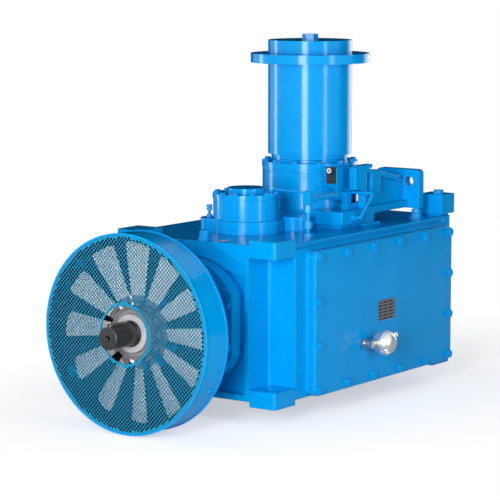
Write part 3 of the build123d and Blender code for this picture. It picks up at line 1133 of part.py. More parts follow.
def make_bracket():
    """A cast arm beside the tower: foot, column, sloping rib, beam and an end plate with a hole."""
    low, high = ARM_BEAM_Z
    web_y = (ARM_Y[1] - ARM_WEB, ARM_Y[1])
    end_x = ARM_END_X[0]
    outline = [(ARM_COLUMN_X[0], ARM_COLUMN_Z[0]), (ARM_COLUMN_X[0], ARM_COLUMN_Z[1]),
               (ARM_COLUMN_X[1], ARM_COLUMN_Z[1]), (ARM_COLUMN_X[1], ARM_SLOPE_TOP),
               (end_x, ARM_SLOPE_LOW), (end_x, low), (ARM_LEG_X[1], low), (ARM_LEG_X[1], TOP_Z),
               (ARM_LEG_X[0], TOP_Z), (ARM_LEG_X[0], ARM_COLUMN_Z[0])]
    front = Plane((0, ARM_Y[1], 0), x_dir=(1, 0, 0), z_dir=(0, -1, 0))
    arm = front * extrude(make_face(Polyline(*outline, close=True)), ARM_Y[1] - ARM_Y[0])
    drop = (ARM_SLOPE_TOP - ARM_SLOPE_LOW) / (end_x - ARM_COLUMN_X[1])
    pocket_low = high
    start = max(ARM_COLUMN_X[1], ARM_LEG_X[0])
    window = [(start, pocket_low), (start, ARM_SLOPE_TOP - ARM_RIB),
              (end_x, ARM_SLOPE_TOP - ARM_RIB - drop * (end_x - start)), (end_x, pocket_low)]
    recess = make_face(Polyline(*window, close=True))
    arm -= Plane((0, web_y[0], 0), x_dir=(1, 0, 0), z_dir=(0, -1, 0)) * extrude(recess, ARM_Y[1] - ARM_Y[0])
    plate = block(ARM_END_X, ARM_END_Y, ARM_END_Z)
    plate = fillet(plate.edges().filter_by(Axis.X).group_by(Axis.Z)[-1], ARM_END_ROUND)
    arm += plate
    hole_place = Plane((ARM_END_X[0], ARM_HOLE_Y, ARM_HOLE_Z), x_dir=(0, 1, 0), z_dir=(1, 0, 0))
    thickness = ARM_END_X[1] - ARM_END_X[0]
    arm += hole_place * Pos(0, 0, -ARM_BOSS_PROUD) * extrude(Circle(1.5 * ARM_HOLE_RADIUS), thickness)
    arm -= hole_place * Pos(0, 0, -ARM_BOSS_PROUD - thickness) * Cylinder(ARM_HEAD_CLEARANCE, 2 * thickness)
    arm -= hole_place * Cylinder(ARM_HOLE_RADIUS, 4 * thickness)
    foot_y = (ARM_Y[0] - ARM_FOOT_FRONT, ARM_Y[1] + ARM_FOOT_BACK)
    arm += block(ARM_FOOT_X, foot_y, (TOP_Z, TOP_Z + ARM_FOOT_HEIGHT))
    arm += block(ARM_SEAT_X, (ARM_Y[0], -TOWER_RADIUS / 2), ARM_SEAT_Z)
    arm += block(ARM_PAD_X, ARM_Y, ARM_PAD_Z)
    arm -= tower_clearance()
    save("roof_bracket", max(arm.solids(), key=lambda solid: solid.volume))

    nut_across, nut_height = HEX[STUD_SIZE]
    stud = Pos(STUD_X, STUD_Y, 0) * Pos(0, 0, (TOP_Z + ARM_END_Z[0]) / 2)
    stud = stud * Cylinder(STUD_SIZE / 2, ARM_END_Z[0] - TOP_Z)
    for z, radius, height in ((TOP_Z, 22.0, 4.0), (TOP_Z + 4, nut_across / 2, nut_height),
                              (ARM_END_Z[0] - nut_height - 4, nut_across / 2, nut_height)):
        stud += Pos(STUD_X, STUD_Y, z) * extrude(RegularPolygon(radius, 6, major_radius=False), height)
    save("adjusting_stud", stud)

    neck_y = (-HALF_WIDTH + RAIL_GROOVE + 2, LUG_BLOCK_Y[1] - 10)
    lug = block(LUG_BLOCK_X, LUG_BLOCK_Y, LUG_BLOCK_Z) + block(LUG_NECK_X, neck_y, (TOP_Z, LUG_BLOCK_Z[0]))
    place = Plane((LUG_BOLT_X, LUG_BOLT_Y, LUG_BLOCK_Z[1]), x_dir=(1, 0, 0), z_dir=(0, 0, 1))
    lug -= bolt_hole(place, STUD_SIZE, LUG_BLOCK_Z[1] - TOP_Z)
    save("corner_block", lug)
    save("corner_block_bolt", hex_bolt(place, STUD_SIZE, LUG_BLOCK_Z[1] - TOP_Z))


# Thermometer, name plate, breather and plugs
def probe_place():
    return side_place(-1, PROBE_X, PROBE_Z, COVER_FACE_Y)


def make_fittings():
    place = probe_place()
    thread = extrude(Circle(PROBE_THREAD_RADIUS - FIT), COVER_THICKNESS + 30)
    nipple = place * Pos(0, 0, -COVER_THICKNESS) * thread
    nipple += place * extrude(RegularPolygon(NIPPLE_HEX, 6, major_radius=False), NIPPLE_HEX_HEIGHT)
    elbow_y = -COVER_FACE_Y - ELBOW_REACH
    side_arm = Plane((PROBE_X, elbow_y, PROBE_Z), x_dir=(0, 1, 0), z_dir=(1, 0, 0))
    elbow = Pos(PROBE_X, elbow_y, PROBE_Z) * Box(ELBOW_SIZE, ELBOW_SIZE, ELBOW_SIZE)
    nipple += chamfer(elbow.edges(), ELBOW_CHAMFER)
    start = HEAD_X - PROBE_X - HEAD_RADIUS
    nipple += side_arm * extrude(Circle(SIDE_ARM_RADIUS), start + 6)
    save("thermometer_fitting", nipple)
    head_place = Plane((HEAD_X, HEAD_BACK_Y, PROBE_Z), x_dir=(1, 0, 0), z_dir=(0, -1, 0))
    depth = HEAD_DEPTH
    wall = Polyline((0, 0), (HEAD_RADIUS - 6, 0), (HEAD_RADIUS - 2, depth * 0.3), (HEAD_RADIUS, depth * 0.34),
                    (HEAD_RADIUS, depth * 0.6))
    dome = ThreePointArc((HEAD_RADIUS, depth * 0.6), (HEAD_RADIUS * 0.78, depth * 0.88), (4, depth))
    closing = Polyline((4, depth), (0, depth), (0, 0))
    head = revolve(Plane.XZ * make_face(wall + dome + closing), Axis.Z)
    head = head_place * head
    head -= side_arm * extrude(Circle(SIDE_ARM_RADIUS + FIT), start + 6)
    save("thermometer_head", head)

    plate = block(NAME_PLATE_X, (-COVER_FACE_Y - NAME_PLATE_THICKNESS, -COVER_FACE_Y), NAME_PLATE_Z)
    rivets = []
    for x in (NAME_PLATE_X[0] + 6, NAME_PLATE_X[1] - 6):
        for z in (NAME_PLATE_Z[0] + 6, NAME_PLATE_Z[1] - 6):
            spot = side_place(-1, x, z, COVER_FACE_Y + NAME_PLATE_THICKNESS)
            plate -= spot * Cylinder(RIVET_RADIUS * 0.6 + FIT, 4 * NAME_PLATE_THICKNESS)
            rivet = spot * extrude(Circle(RIVET_RADIUS), 1.2)
            rivets.append(rivet + spot * extrude(Circle(RIVET_RADIUS * 0.6), -NAME_PLATE_THICKNESS))
    save("name_plate", plate)
    save("name_plate_rivets", *rivets)

    spot = upright(BREATHER_X, BREATHER_Y) * Pos(0, 0, TOP_Z)
    breather = spot * extrude(RegularPolygon(17, 6, major_radius=False), 10)
    breather += spot * Pos(0, 0, 10) * extrude(Circle(15), 22)
    save("breather", breather)
    rest = LOBE_TOP_Z
    vent_top = STACK_BODY_TOP - 24
    reach = STACK_BODY_RADIUS + 2 * VENT_RADIUS + 2
    stand = INTER_PLANE * Rot(0, 0, VENT_ANGLE) * Pos(reach, 0, rest)
    vent = stand * extrude(Circle(VENT_RADIUS), vent_top - rest)
    for low in (0, (vent_top - rest) * 0.55, vent_top - rest - 8):
        vent += stand * Pos(0, 0, low) * extrude(RegularPolygon(VENT_RADIUS + 3, 6, major_radius=False), 8)
    save("stack_vent", vent)

    seat = Plane((MANIFOLD_X[0] - SEAT_GAP, SENSOR_Y, SENSOR_Z), x_dir=(0, -1, 0), z_dir=(-1, 0, 0))
    sensor = seat * extrude(Rectangle(SENSOR_WIDTH, SENSOR_HEIGHT), 6)
    sensor += seat * Pos(0, SENSOR_HEIGHT * 0.3, 6) * extrude(Circle(SENSOR_WIDTH * 0.36), 10)
    save("oil_sensor", sensor)
    plugs = []
    for place in oil_plug_places():
        plug = place * Pos(0, 0, -WALL * 0.45) * Cylinder(OIL_PLUG_RADIUS - FIT, WALL * 0.9)
        plug += place * extrude(Circle(OIL_PLUG_RADIUS + 6), 4)
        plugs.append(plug + place * Pos(0, 0, 4) * extrude(RegularPolygon(12, 6, major_radius=False), 12))
    save("oil_plugs", *plugs)


save("housing", make_housing())
make_covers()
make_input_shaft()
make_carrier()
make_fan()
make_cowl()
make_intermediate()
make_stack()
make_output()
make_tower()
make_hub()
make_oil_supply()
make_bracket()
make_fittings()
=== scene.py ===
import bpy, math
import numpy as np
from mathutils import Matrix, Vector


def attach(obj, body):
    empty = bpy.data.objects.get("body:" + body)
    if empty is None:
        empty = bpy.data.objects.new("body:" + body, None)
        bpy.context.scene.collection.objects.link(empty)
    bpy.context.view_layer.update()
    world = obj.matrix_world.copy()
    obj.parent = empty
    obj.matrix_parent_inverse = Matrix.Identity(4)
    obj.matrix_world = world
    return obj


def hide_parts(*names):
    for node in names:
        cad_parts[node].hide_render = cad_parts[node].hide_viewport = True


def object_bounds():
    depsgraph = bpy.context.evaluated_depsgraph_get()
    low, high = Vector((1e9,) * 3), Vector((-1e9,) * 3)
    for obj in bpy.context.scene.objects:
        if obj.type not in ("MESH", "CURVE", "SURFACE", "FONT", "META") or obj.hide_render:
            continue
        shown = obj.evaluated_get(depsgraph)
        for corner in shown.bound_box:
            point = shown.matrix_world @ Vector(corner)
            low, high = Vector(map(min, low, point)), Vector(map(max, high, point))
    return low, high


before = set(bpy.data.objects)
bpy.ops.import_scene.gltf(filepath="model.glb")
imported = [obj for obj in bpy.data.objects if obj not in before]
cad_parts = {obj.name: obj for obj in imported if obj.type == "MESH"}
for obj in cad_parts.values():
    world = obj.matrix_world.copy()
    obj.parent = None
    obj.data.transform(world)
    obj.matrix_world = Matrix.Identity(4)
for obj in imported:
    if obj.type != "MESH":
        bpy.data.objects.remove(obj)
cad_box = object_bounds()

# Camera. A long studio lens about 7.5 m off, a little above the casing,
# looking past the fan cowl at the long side of the unit.
camera_turn, camera_rise = math.radians(-54.702), math.radians(7.5905)
camera_place = Vector((-6.21127, -4.24004, 1.41808))
frame_pixels, focal_pixels, sensor_mm, sight_end = 500, 2302.93, 36.0, 100.0
back = Vector((math.sin(camera_turn) * math.cos(camera_rise),
               -math.cos(camera_turn) * math.cos(camera_rise), math.sin(camera_rise)))
camera_data = bpy.data.cameras.new("camera")
camera_data.sensor_width = sensor_mm
camera_data.lens = focal_pixels * camera_data.sensor_width / frame_pixels
camera_data.clip_end = sight_end
camera = bpy.data.objects.new("camera", camera_data)
camera.location = camera_place
camera.rotation_mode = "QUATERNION"
camera.rotation_quaternion = (-back).to_track_quat("-Z", "Y")
bpy.context.collection.objects.link(camera)
bpy.context.scene.camera = camera


# Studio floor. A pale seamless sweep of paper under the lowest point of the cowl: matt near the
# unit, where it takes the shadow, and plain white farther off.
def add_node(tree, kind, settings=None, **links):
    """Adds one node: settings are its properties or its sockets' values, links join its sockets."""
    node = tree.nodes.new(kind)
    for key, value in (settings or {}).items():
        if isinstance(key, int) or key in node.inputs:
            node.inputs[key].default_value = value
        else:
            setattr(node, key, value)
    for key, source in links.items():
        numbered = key[0] == "i" and key[1:].isdigit()
        socket = node.inputs[int(key[1:]) if numbered else key.replace("_", " ")]
        tree.links.new(source, socket)
    return node


def srgb(code):
    """A hex colour as the eye reads it, turned to the linear values that the renderer works in."""
    steps = [int(code[i:i + 2], 16) / 255 for i in (1, 3, 5)]
    return [s / 12.92 if s <= 0.04045 else ((s + 0.055) / 1.055) ** 2.4 for s in steps] + [1.0]


def add_object(name, points, faces):
    """Links a new object that stands at the origin, with these points in metres and these faces."""
    mesh = bpy.data.meshes.new(name)
    mesh.from_pydata(np.asarray(points, float).tolist(), [], np.asarray(faces).tolist())
    mesh.validate()
    piece = bpy.data.objects.new(name, mesh)
    bpy.context.collection.objects.link(piece)
    return piece


floor_gap, floor_half = 0.002, 9.0
matt_within, white_from, side_stretch, paper_glow = 0.8, 1.9, 1.7, 0.5
floor_z = cad_box[0].z - floor_gap
floor_corners = [(x * floor_half, y * floor_half, floor_z) for x, y in ((-1, -1), (1, -1), (1, 1), (-1, 1))]
studio_floor = add_object("studio_floor", floor_corners, [(0, 1, 2, 3)])
white_paper = bpy.data.materials.new("white_paper_sweep")
white_paper.use_nodes = True
paper_tree = white_paper.node_tree
paper_tree.nodes.clear()
paper_place = add_node(paper_tree, "ShaderNodeTexCoord").outputs["Object"]
paper_stretch = add_node(paper_tree, "ShaderNodeMapping", {"Scale": (1.0, side_stretch, 1.0)},
                         Vector=paper_place)
paper_reach = add_node(paper_tree, "ShaderNodeVectorMath", {"operation": "LENGTH"},
                       Vector=paper_stretch.outputs[0])
far_off = add_node(paper_tree, "ShaderNodeMapRange",
                   {"interpolation_type": "SMOOTHSTEP", 1: matt_within, 2: white_from},
                   Value=paper_reach.outputs["Value"])
paper_rays = add_node(paper_tree, "ShaderNodeLightPath")
lifted = add_node(paper_tree, "ShaderNodeMath", {"operation": "MULTIPLY"},
                  i0=far_off.outputs[0], i1=paper_rays.outputs["Is Camera Ray"])
near_lift = add_node(paper_tree, "ShaderNodeMath", {"operation": "MULTIPLY", 0: paper_glow},
                     i1=paper_rays.outputs["Is Camera Ray"])
lit_paper = add_node(paper_tree, "ShaderNodeBsdfDiffuse", {"Color": srgb("#E2E2E2")})
near_glow = add_node(paper_tree, "ShaderNodeEmission", {"Color": srgb("#FFFFFF")},
                     Strength=near_lift.outputs[0])
near_paper = add_node(paper_tree, "ShaderNodeAddShader", {},
                      i0=lit_paper.outputs[0], i1=near_glow.outputs[0])
bright_paper = add_node(paper_tree, "ShaderNodeEmission", {"Color": srgb("#FFFFFF"), "Strength": 1.0})
paper_mix = add_node(paper_tree, "ShaderNodeMixShader", {}, Fac=lifted.outputs[0],
                     i1=near_paper.outputs[0], i2=bright_paper.outputs[0])
add_node(paper_tree, "ShaderNodeOutputMaterial", {}, Surface=paper_mix.outputs[0])
studio_floor.data.materials.append(white_paper)

# Softboxes. Four tall ones stand just above the floor, off the fan end, the long side, the far side
# and the free end; each row is a name, a place, a width in m and a power in watts.
centre = (cad_box[0] + cad_box[1]) / 2
softbox_height, softbox_gap = 2.2, 0.08
for name, place, width, power in (
        ("softbox_fan_end", (-4.55, -1.70), 1.3, 214.0),
        ("softbox_long_side", (-0.85, -3.90), 0.6, 44.0),
        ("softbox_far_side", (-1.20, 4.40), 0.9, 60.0),
        ("softbox_free_end", (3.80, -0.20), 2.4, 55.0)):
    lamp_data = bpy.data.lights.new(name, "AREA")
    lamp_data.shape = "RECTANGLE"
    lamp_data.size, lamp_data.size_y, lamp_data.energy = width, softbox_height, power
    lamp = bpy.data.objects.new(name, lamp_data)
    lamp.location = (place[0], place[1], floor_z + softbox_height / 2 + softbox_gap)
    lamp.rotation_mode = "QUATERNION"
    lamp.rotation_quaternion = (centre - lamp.location).to_track_quat("-Z", "Y")
    bpy.context.collection.objects.link(lamp)

# Black flags. Two walls of cloth stand behind the unit and off its free end, hidden from the camera,
# so that level faces and the sides of cylinders reflect dark cloth between the softboxes.
black_cloth = bpy.data.materials.new("black_flag_cloth")
black_cloth.use_nodes = True
cloth_shader = black_cloth.node_tree.nodes["Principled BSDF"]
cloth_shader.inputs["Base Color"].default_value = srgb("#0A0A0A")
cloth_shader.inputs["Roughness"].default_value = 0.95
cloth_shader.inputs["Specular IOR Level"].default_value = 0.0
flag_gap, flag_top = 0.02, 4.2
flag_low = floor_z + flag_gap
for name, start, end in (
        ("flag_behind", (6.1, 0.3), (1.6, 5.7)),
        ("flag_free_end", (3.2, -4.6), (6.1, 0.3))):
    flag = add_object(name, [(*start, flag_low), (*end, flag_low), (*end, flag_top), (*start, flag_top)],
                      [(0, 1, 2, 3)])
    flag.visible_camera = False
    flag.data.materials.append(black_cloth)

# Background. White to the camera, in reflections and through glass, and a weak even fill light
# on the unit.
sky_light, sky_seen = 0.16, 1.0
world = bpy.data.worlds.new("studio")
bpy.context.scene.world = world
world.use_nodes = True
sky = world.node_tree
sky.nodes.clear()
rays = add_node(sky, "ShaderNodeLightPath")
seen = add_node(sky, "ShaderNodeMath", {"operation": "MAXIMUM"},
                i0=rays.outputs["Is Camera Ray"], i1=rays.outputs["Is Transmission Ray"])
shown = add_node(sky, "ShaderNodeMath", {"operation": "MAXIMUM"},
                 i0=seen.outputs[0], i1=rays.outputs["Is Glossy Ray"])
strength = add_node(sky, "ShaderNodeMapRange", {3: sky_light, 4: sky_seen}, Value=shown.outputs[0])
paper = add_node(sky, "ShaderNodeBackground", {"Color": srgb("#FFFFFF")}, Strength=strength.outputs[0])
add_node(sky, "ShaderNodeOutputWorld", {}, Surface=paper.outputs[0])
bpy.context.scene.view_settings.view_transform = "Standard"


# Painted iron and steel. Castings, turned parts, sheet and fasteners, primed and sprayed with gloss
# alkyd enamel: the film is wet-looking, follows the skin of the metal below and rounds its edges.
# Inside the fan cowl the sheet is painted near-black, a painted shade for the dark inside the cowl.
def shaft_place(tree):
    """From object coordinates in metres: the place along X, the spoke that leads off the input axis
    (its Y and Z parts) and the spoke's length."""
    place = add_node(tree, "ShaderNodeTexCoord").outputs["Object"]
    axes = add_node(tree, "ShaderNodeSeparateXYZ", {}, Vector=place)
    height = add_node(tree, "ShaderNodeMath", {"operation": "SUBTRACT", 1: input_axis_z / 1000},
                      i0=axes.outputs["Z"])
    spoke = add_node(tree, "ShaderNodeCombineXYZ", {}, Y=axes.outputs["Y"], Z=height.outputs[0])
    reach = add_node(tree, "ShaderNodeVectorMath", {"operation": "LENGTH"}, Vector=spoke.outputs[0])
    return axes.outputs["X"], spoke.outputs[0], reach.outputs["Value"]


def enamel(name, hex_colour, edge_mm, skin_mm, skin_depth_mm, roughness, painted_shade_x_mm=None):
    """Gloss enamel: one wide noise moves the colour a little and the roughness from 0.8 to 1.25 of its
    value, a finer noise is the bump for the skin below, and the film rounds the edges. Given two places
    along the shaft, what lies inside the fan cowl between them is painted near-black, a painted shade for the
    dark there."""
    material = bpy.data.materials.new(name)
    material.use_nodes = True
    tree = material.node_tree
    shader = tree.nodes["Principled BSDF"]
    place = add_node(tree, "ShaderNodeTexCoord").outputs["Object"]
    drift = add_node(tree, "ShaderNodeTexNoise", {"Scale": drift_per_metre, "Detail": 3.0, "Roughness": 0.5},
                     Vector=place)
    skin = add_node(tree, "ShaderNodeTexNoise",
                    {"Scale": 1000.0 / skin_mm, "Detail": 2.0, "Roughness": 0.55}, Vector=place)
    tint = add_node(tree, "ShaderNodeValToRGB", {}, Fac=drift.outputs["Fac"])
    for stop, position, share in zip(tint.color_ramp.elements, (0.3, 0.7), (thin_film, thick_film)):
        stop.position = position
        stop.color = [share * c for c in srgb(hex_colour)[:3]] + [1.0]
    colour = tint.outputs["Color"]
    # Painted shade: inside the cowl's inner radius, between the two places along the shaft, the colour turns
    # near-black (#15171A).
    if painted_shade_x_mm:
        along, _, reach = shaft_place(tree)
        behind = add_node(tree, "ShaderNodeMath", {"operation": "GREATER_THAN", 1: painted_shade_x_mm[0] / 1000},
                          i0=along)
        before = add_node(tree, "ShaderNodeMath", {"operation": "LESS_THAN", 1: painted_shade_x_mm[1] / 1000},
                          i0=along)
        within = add_node(tree, "ShaderNodeMath", {"operation": "LESS_THAN", 1: cowl_inside / 1000}, i0=reach)
        both = add_node(tree, "ShaderNodeMath", {"operation": "MULTIPLY"},
                        i0=behind.outputs[0], i1=before.outputs[0])
        share = add_node(tree, "ShaderNodeMath", {"operation": "MULTIPLY"},
                         i0=both.outputs[0], i1=within.outputs[0])
        painted_shade_mix = add_node(tree, "ShaderNodeMix", {"data_type": "RGBA", 7: srgb("#15171A")},
                          i0=share.outputs[0], i6=colour)
        colour = painted_shade_mix.outputs[2]
    tree.links.new(colour, shader.inputs["Base Color"])
    gloss = add_node(tree, "ShaderNodeMapRange", {3: roughness * 0.8, 4: roughness * 1.25},
                     Value=drift.outputs["Fac"])
    tree.links.new(gloss.outputs[0], shader.inputs["Roughness"])
    rounded = add_node(tree, "ShaderNodeBevel", {"samples": 6, "Radius": edge_mm / 1000.0})
    bump = add_node(tree, "ShaderNodeBump", {"Strength": 0.35, "Distance": skin_depth_mm / 1000.0},
                    Height=skin.outputs["Fac"], Normal=rounded.outputs[0])
    tree.links.new(bump.outputs[0], shader.inputs["Normal"])
    shader.inputs["IOR"].default_value = 1.5
    shader.inputs["Specular IOR Level"].default_value = 0.09
    shader.inputs["Coat Weight"].default_value = 0.2
    shader.inputs["Coat Roughness"].default_value = 0.09
    return material


def finish_nodes(material, *nodes):
    """Gives CAD nodes this material."""
    for node in nodes:
        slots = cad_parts[node].data.materials
        if not len(slots):
            slots.append(material)
        for i in range(len(slots)):
            slots[i] = material


machine_blue, drift_per_metre, thin_film, thick_film = "#0096DE", 9.0, 0.95, 1.02
input_axis_z, cowl_inside = 254.0, 302.2
cast_enamel = enamel("gloss_enamel_on_cast_iron", machine_blue, edge_mm=6.0,
                     skin_mm=14.0, skin_depth_mm=0.9, roughness=0.20)
machined_enamel = enamel("gloss_enamel_on_machined_iron", machine_blue, edge_mm=1.2,
                         skin_mm=30.0, skin_depth_mm=0.35, roughness=0.18)
sheet_enamel = enamel("gloss_enamel_on_sheet_steel", machine_blue, edge_mm=0.8,
                      skin_mm=45.0, skin_depth_mm=0.4, roughness=0.20)
fastener_enamel = enamel("enamel_on_bolts_and_fittings", machine_blue, edge_mm=0.7,
                         skin_mm=5.0, skin_depth_mm=0.3, roughness=0.28)
finish_nodes(cast_enamel, "housing", "side_cover", "rear_cover", "roof_bracket", "corner_block",
             "input_carrier", "intermediate_bearing_housing", "oil_pump_block", "output_bearing_housing")
finish_nodes(machined_enamel, "input_seal_cover", "intermediate_bearing_cap", "output_seal_cover",
             "output_hub", "hub_end_plate", "labyrinth_ring", "oil_manifold", "oil_valve_block", "hub_plug")
# The inside of the cowl is painted near-black: painted shade for the dark behind the fan.
cowl_enamel = enamel("gloss_enamel_with_painted_shade_inside", machine_blue, edge_mm=1.2,
                     skin_mm=45.0, skin_depth_mm=0.4, roughness=0.20, painted_shade_x_mm=(-872.2, -766.0))
finish_nodes(cowl_enamel, "fan_cowl")
finish_nodes(sheet_enamel, "cowl_brackets")
finish_nodes(fastener_enamel, "cover_bolts", "carrier_bolts", "seal_cover_screws", "stack_bolts",
             "tower_bolts", "hub_end_bolt", "stack_vent", "oil_pipes", "pipe_unions", "adjusting_stud",
             "corner_block_bolt", "breather", "oil_plugs", "cowl_screws")


# Fan screen. A 2 mm steel sheet punched with staggered round holes, its rim and the edge round
# the shaft left plain, spot welded into the cowl and painted a little greyer; its back is painted near-black,
# a painted shade for the dark inside the cowl.
screen_front_x, screen_thick = -873.0, 2.0
screen_rim, screen_eye = 300.6, 88.0
hole_pitch, row_pitch, hole_radius, pinprick = 12.4, 13.0, 4.15, 0.02
plain_rim, plain_eye = 3.0, 6.0
spare_cells, spare_margin, cell_sides = 4, 8.0, 8
joins_per_mm, least_area = 200, 0.001


def punched_sheet():
    """A lattice of diamond cells, half a pitch apart in alternate rows. Each cell is a ring of eight quads
    between its hole and its outline; cells near the rims have their hole shut to a pinprick, points past
    a rim are drawn back onto it, and quads left without an area are dropped. Worked out in mm and given
    back in metres."""
    count = int(screen_rim / hole_pitch * 2) + spare_cells
    i, j = np.meshgrid(np.arange(-count, count + 1), np.arange(-count, count + 1), indexing="ij")
    keep = (i + j) % 2 == 0
    middle = np.stack([i[keep] * hole_pitch / 2, j[keep] * row_pitch / 2], 1)
    distance = np.hypot(middle[:, 0], middle[:, 1])
    near = (distance < screen_rim + spare_margin) & (distance > screen_eye - spare_margin)
    middle, distance = middle[near], distance[near]
    across, up = hole_pitch / 2, row_pitch / 2
    corners = np.array([(across, 0), (0, up), (-across, 0), (0, -up)])
    outline = np.stack([corners, (corners + np.roll(corners, -1, 0)) / 2], 1).reshape(cell_sides, 2)
    turn = np.arctan2(outline[:, 1], outline[:, 0])
    circle = hole_radius * np.stack([np.cos(turn), np.sin(turn)], 1)
    holed = ((distance < screen_rim - plain_rim - hole_radius)
             & (distance > screen_eye + plain_eye + hole_radius))
    inner = np.where(holed[:, None, None], circle[None], circle[None] * pinprick)
    points = np.concatenate([middle[:, None] + inner, middle[:, None] + outline[None]], 1)
    radius = np.hypot(points[..., 0], points[..., 1])
    points *= (np.clip(radius, screen_eye, screen_rim) / radius)[..., None]
    step = np.arange(cell_sides)
    after = (step + 1) % cell_sides
    quads = np.stack([step, step + cell_sides, after + cell_sides, after], 1)
    faces = (np.arange(len(middle))[:, None, None] * (2 * cell_sides) + quads[None]).reshape(-1, 4)
    flat = points.reshape(-1, 2)
    _, first, back_to = np.unique(np.round(flat * joins_per_mm).astype(int), axis=0,
                                  return_index=True, return_inverse=True)
    flat, faces = flat[first], back_to.reshape(-1)[faces]
    corner = flat[faces]
    area = 0.5 * np.abs((corner[:, 2, 0] - corner[:, 0, 0]) * (corner[:, 3, 1] - corner[:, 1, 1])
                        - (corner[:, 3, 0] - corner[:, 1, 0]) * (corner[:, 2, 1] - corner[:, 0, 1]))
    whole = np.all(faces != np.roll(faces, -1, 1), 1) & (area > least_area)
    place = np.column_stack([np.full(len(flat), screen_front_x), -flat[:, 0], flat[:, 1] + input_axis_z])
    return place / 1000, faces[whole]


def thicken(piece, thickness_mm, offset):
    """Gives a drawn sheet its thickness: all of it behind the face at offset -1, half to each side at 0."""
    sheet = piece.modifiers.new("sheet", "SOLIDIFY")
    sheet.thickness, sheet.offset = thickness_mm / 1000, offset


punched_screen = add_object("punched_screen", *punched_sheet())
thicken(punched_screen, screen_thick, -1.0)
# The back of the screen is painted near-black: painted shade, not its real blue paint.
punched_enamel = enamel("gloss_enamel_on_punched_sheet_with_painted_shade", "#1A86AE", edge_mm=0.4,
                        skin_mm=45.0, skin_depth_mm=0.3, roughness=0.25, painted_shade_x_mm=(-872.8, -860.0))
punched_screen.data.materials.append(punched_enamel)
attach(punched_screen, "base")
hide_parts("cowl_screen")


# Fan. One aluminium alloy sand casting with flat twisted blades, blast cleaned and left bare, so it
# is pale, matt and faintly mottled; its hub is a darker grey with faint rings round the axis.
def grained(name, hex_dark, hex_light, metallic, roughness, grain_per_metre, depth_mm, edge_mm):
    """A surface with one grain, given by its repeats per metre on each axis. The grain moves the colour
    from dark to light, the roughness from 0.75 to 1.25 of its value, and is the bump; edges are rounded."""
    material = bpy.data.materials.new(name)
    material.use_nodes = True
    tree = material.node_tree
    shader = tree.nodes["Principled BSDF"]
    place = add_node(tree, "ShaderNodeTexCoord").outputs["Object"]
    stretched = add_node(tree, "ShaderNodeMapping", {"Scale": grain_per_metre}, Vector=place)
    grain = add_node(tree, "ShaderNodeTexNoise", {"Scale": 1.0, "Detail": 4.0, "Roughness": 0.6},
                     Vector=stretched.outputs[0])
    tint = add_node(tree, "ShaderNodeValToRGB", {}, Fac=grain.outputs["Fac"])
    for stop, position, code in zip(tint.color_ramp.elements, (0.3, 0.7), (hex_dark, hex_light)):
        stop.position, stop.color = position, srgb(code)
    tree.links.new(tint.outputs["Color"], shader.inputs["Base Color"])
    gloss = add_node(tree, "ShaderNodeMapRange", {3: roughness * 0.75, 4: roughness * 1.25},
                     Value=grain.outputs["Fac"])
    tree.links.new(gloss.outputs[0], shader.inputs["Roughness"])
    rounded = add_node(tree, "ShaderNodeBevel", {"samples": 6, "Radius": edge_mm / 1000.0})
    bump = add_node(tree, "ShaderNodeBump", {"Strength": 0.4, "Distance": depth_mm / 1000.0},
                    Height=grain.outputs["Fac"], Normal=rounded.outputs[0])
    tree.links.new(bump.outputs[0], shader.inputs["Normal"])
    shader.inputs["Metallic"].default_value = metallic
    return material


fan_alloy = grained("blast_cleaned_cast_aluminium", "#DAD6CC", "#F0ECE4", metallic=0.0, roughness=0.6,
                    grain_per_metre=(90, 90, 90), depth_mm=0.3, edge_mm=1.0)
finish_nodes(fan_alloy, "fan")
# The wave texture turns by 20 radians per unit of its scale, so the rings stand 2 pi x 3 mm apart.
hub_radius, hub_fade, ring_radian_mm, wave_radians = 113.0, 1.0, 3.0, 20.0
fan_tree = fan_alloy.node_tree
fan_shader = fan_tree.nodes["Principled BSDF"]
_, fan_spoke, fan_reach = shaft_place(fan_tree)
on_hub = add_node(fan_tree, "ShaderNodeMapRange",
                  {1: hub_radius / 1000, 2: (hub_radius - hub_fade) / 1000}, Value=fan_reach)
tool_marks = add_node(fan_tree, "ShaderNodeTexWave",
                      {"wave_type": "RINGS", "rings_direction": "SPHERICAL", "Distortion": 0.4,
                       "Scale": 1000.0 / ring_radian_mm / wave_radians}, Vector=fan_spoke)
turned_tint = add_node(fan_tree, "ShaderNodeValToRGB", {}, Fac=tool_marks.outputs["Fac"])
for stop, code in zip(turned_tint.color_ramp.elements, ("#66656A", "#828186")):
    stop.color = srgb(code)
fan_colour = add_node(fan_tree, "ShaderNodeMix", {"data_type": "RGBA"}, i0=on_hub.outputs[0],
                      i6=fan_shader.inputs["Base Color"].links[0].from_socket,
                      i7=turned_tint.outputs["Color"])
fan_tree.links.new(fan_colour.outputs[2], fan_shader.inputs["Base Color"])


# Air guide plate. A flat ring of 2 mm sheet steel welded in behind the cowl's rear edge, so that
# the fan blows through the gap round the carrier. It also stands for the shade behind the fan: blue outside,
# its fan side painted near-black as painted shade, like the inside of the cowl.
def flat_ring(centre_mm, inner, outer, steps):
    """A ring of quads between two circles round this centre, square to X. Its centre and both radii are
    in mm, the points that it gives back in metres."""
    turn = np.linspace(0, 2 * np.pi, steps, endpoint=False)
    circle = np.stack([np.zeros(steps), -np.cos(turn), np.sin(turn)], 1)
    points = np.concatenate([circle * inner, circle * outer]) + centre_mm
    step = np.arange(steps)
    after = (step + 1) % steps
    return points / 1000, np.stack([step, after, after + steps, step + steps], 1)


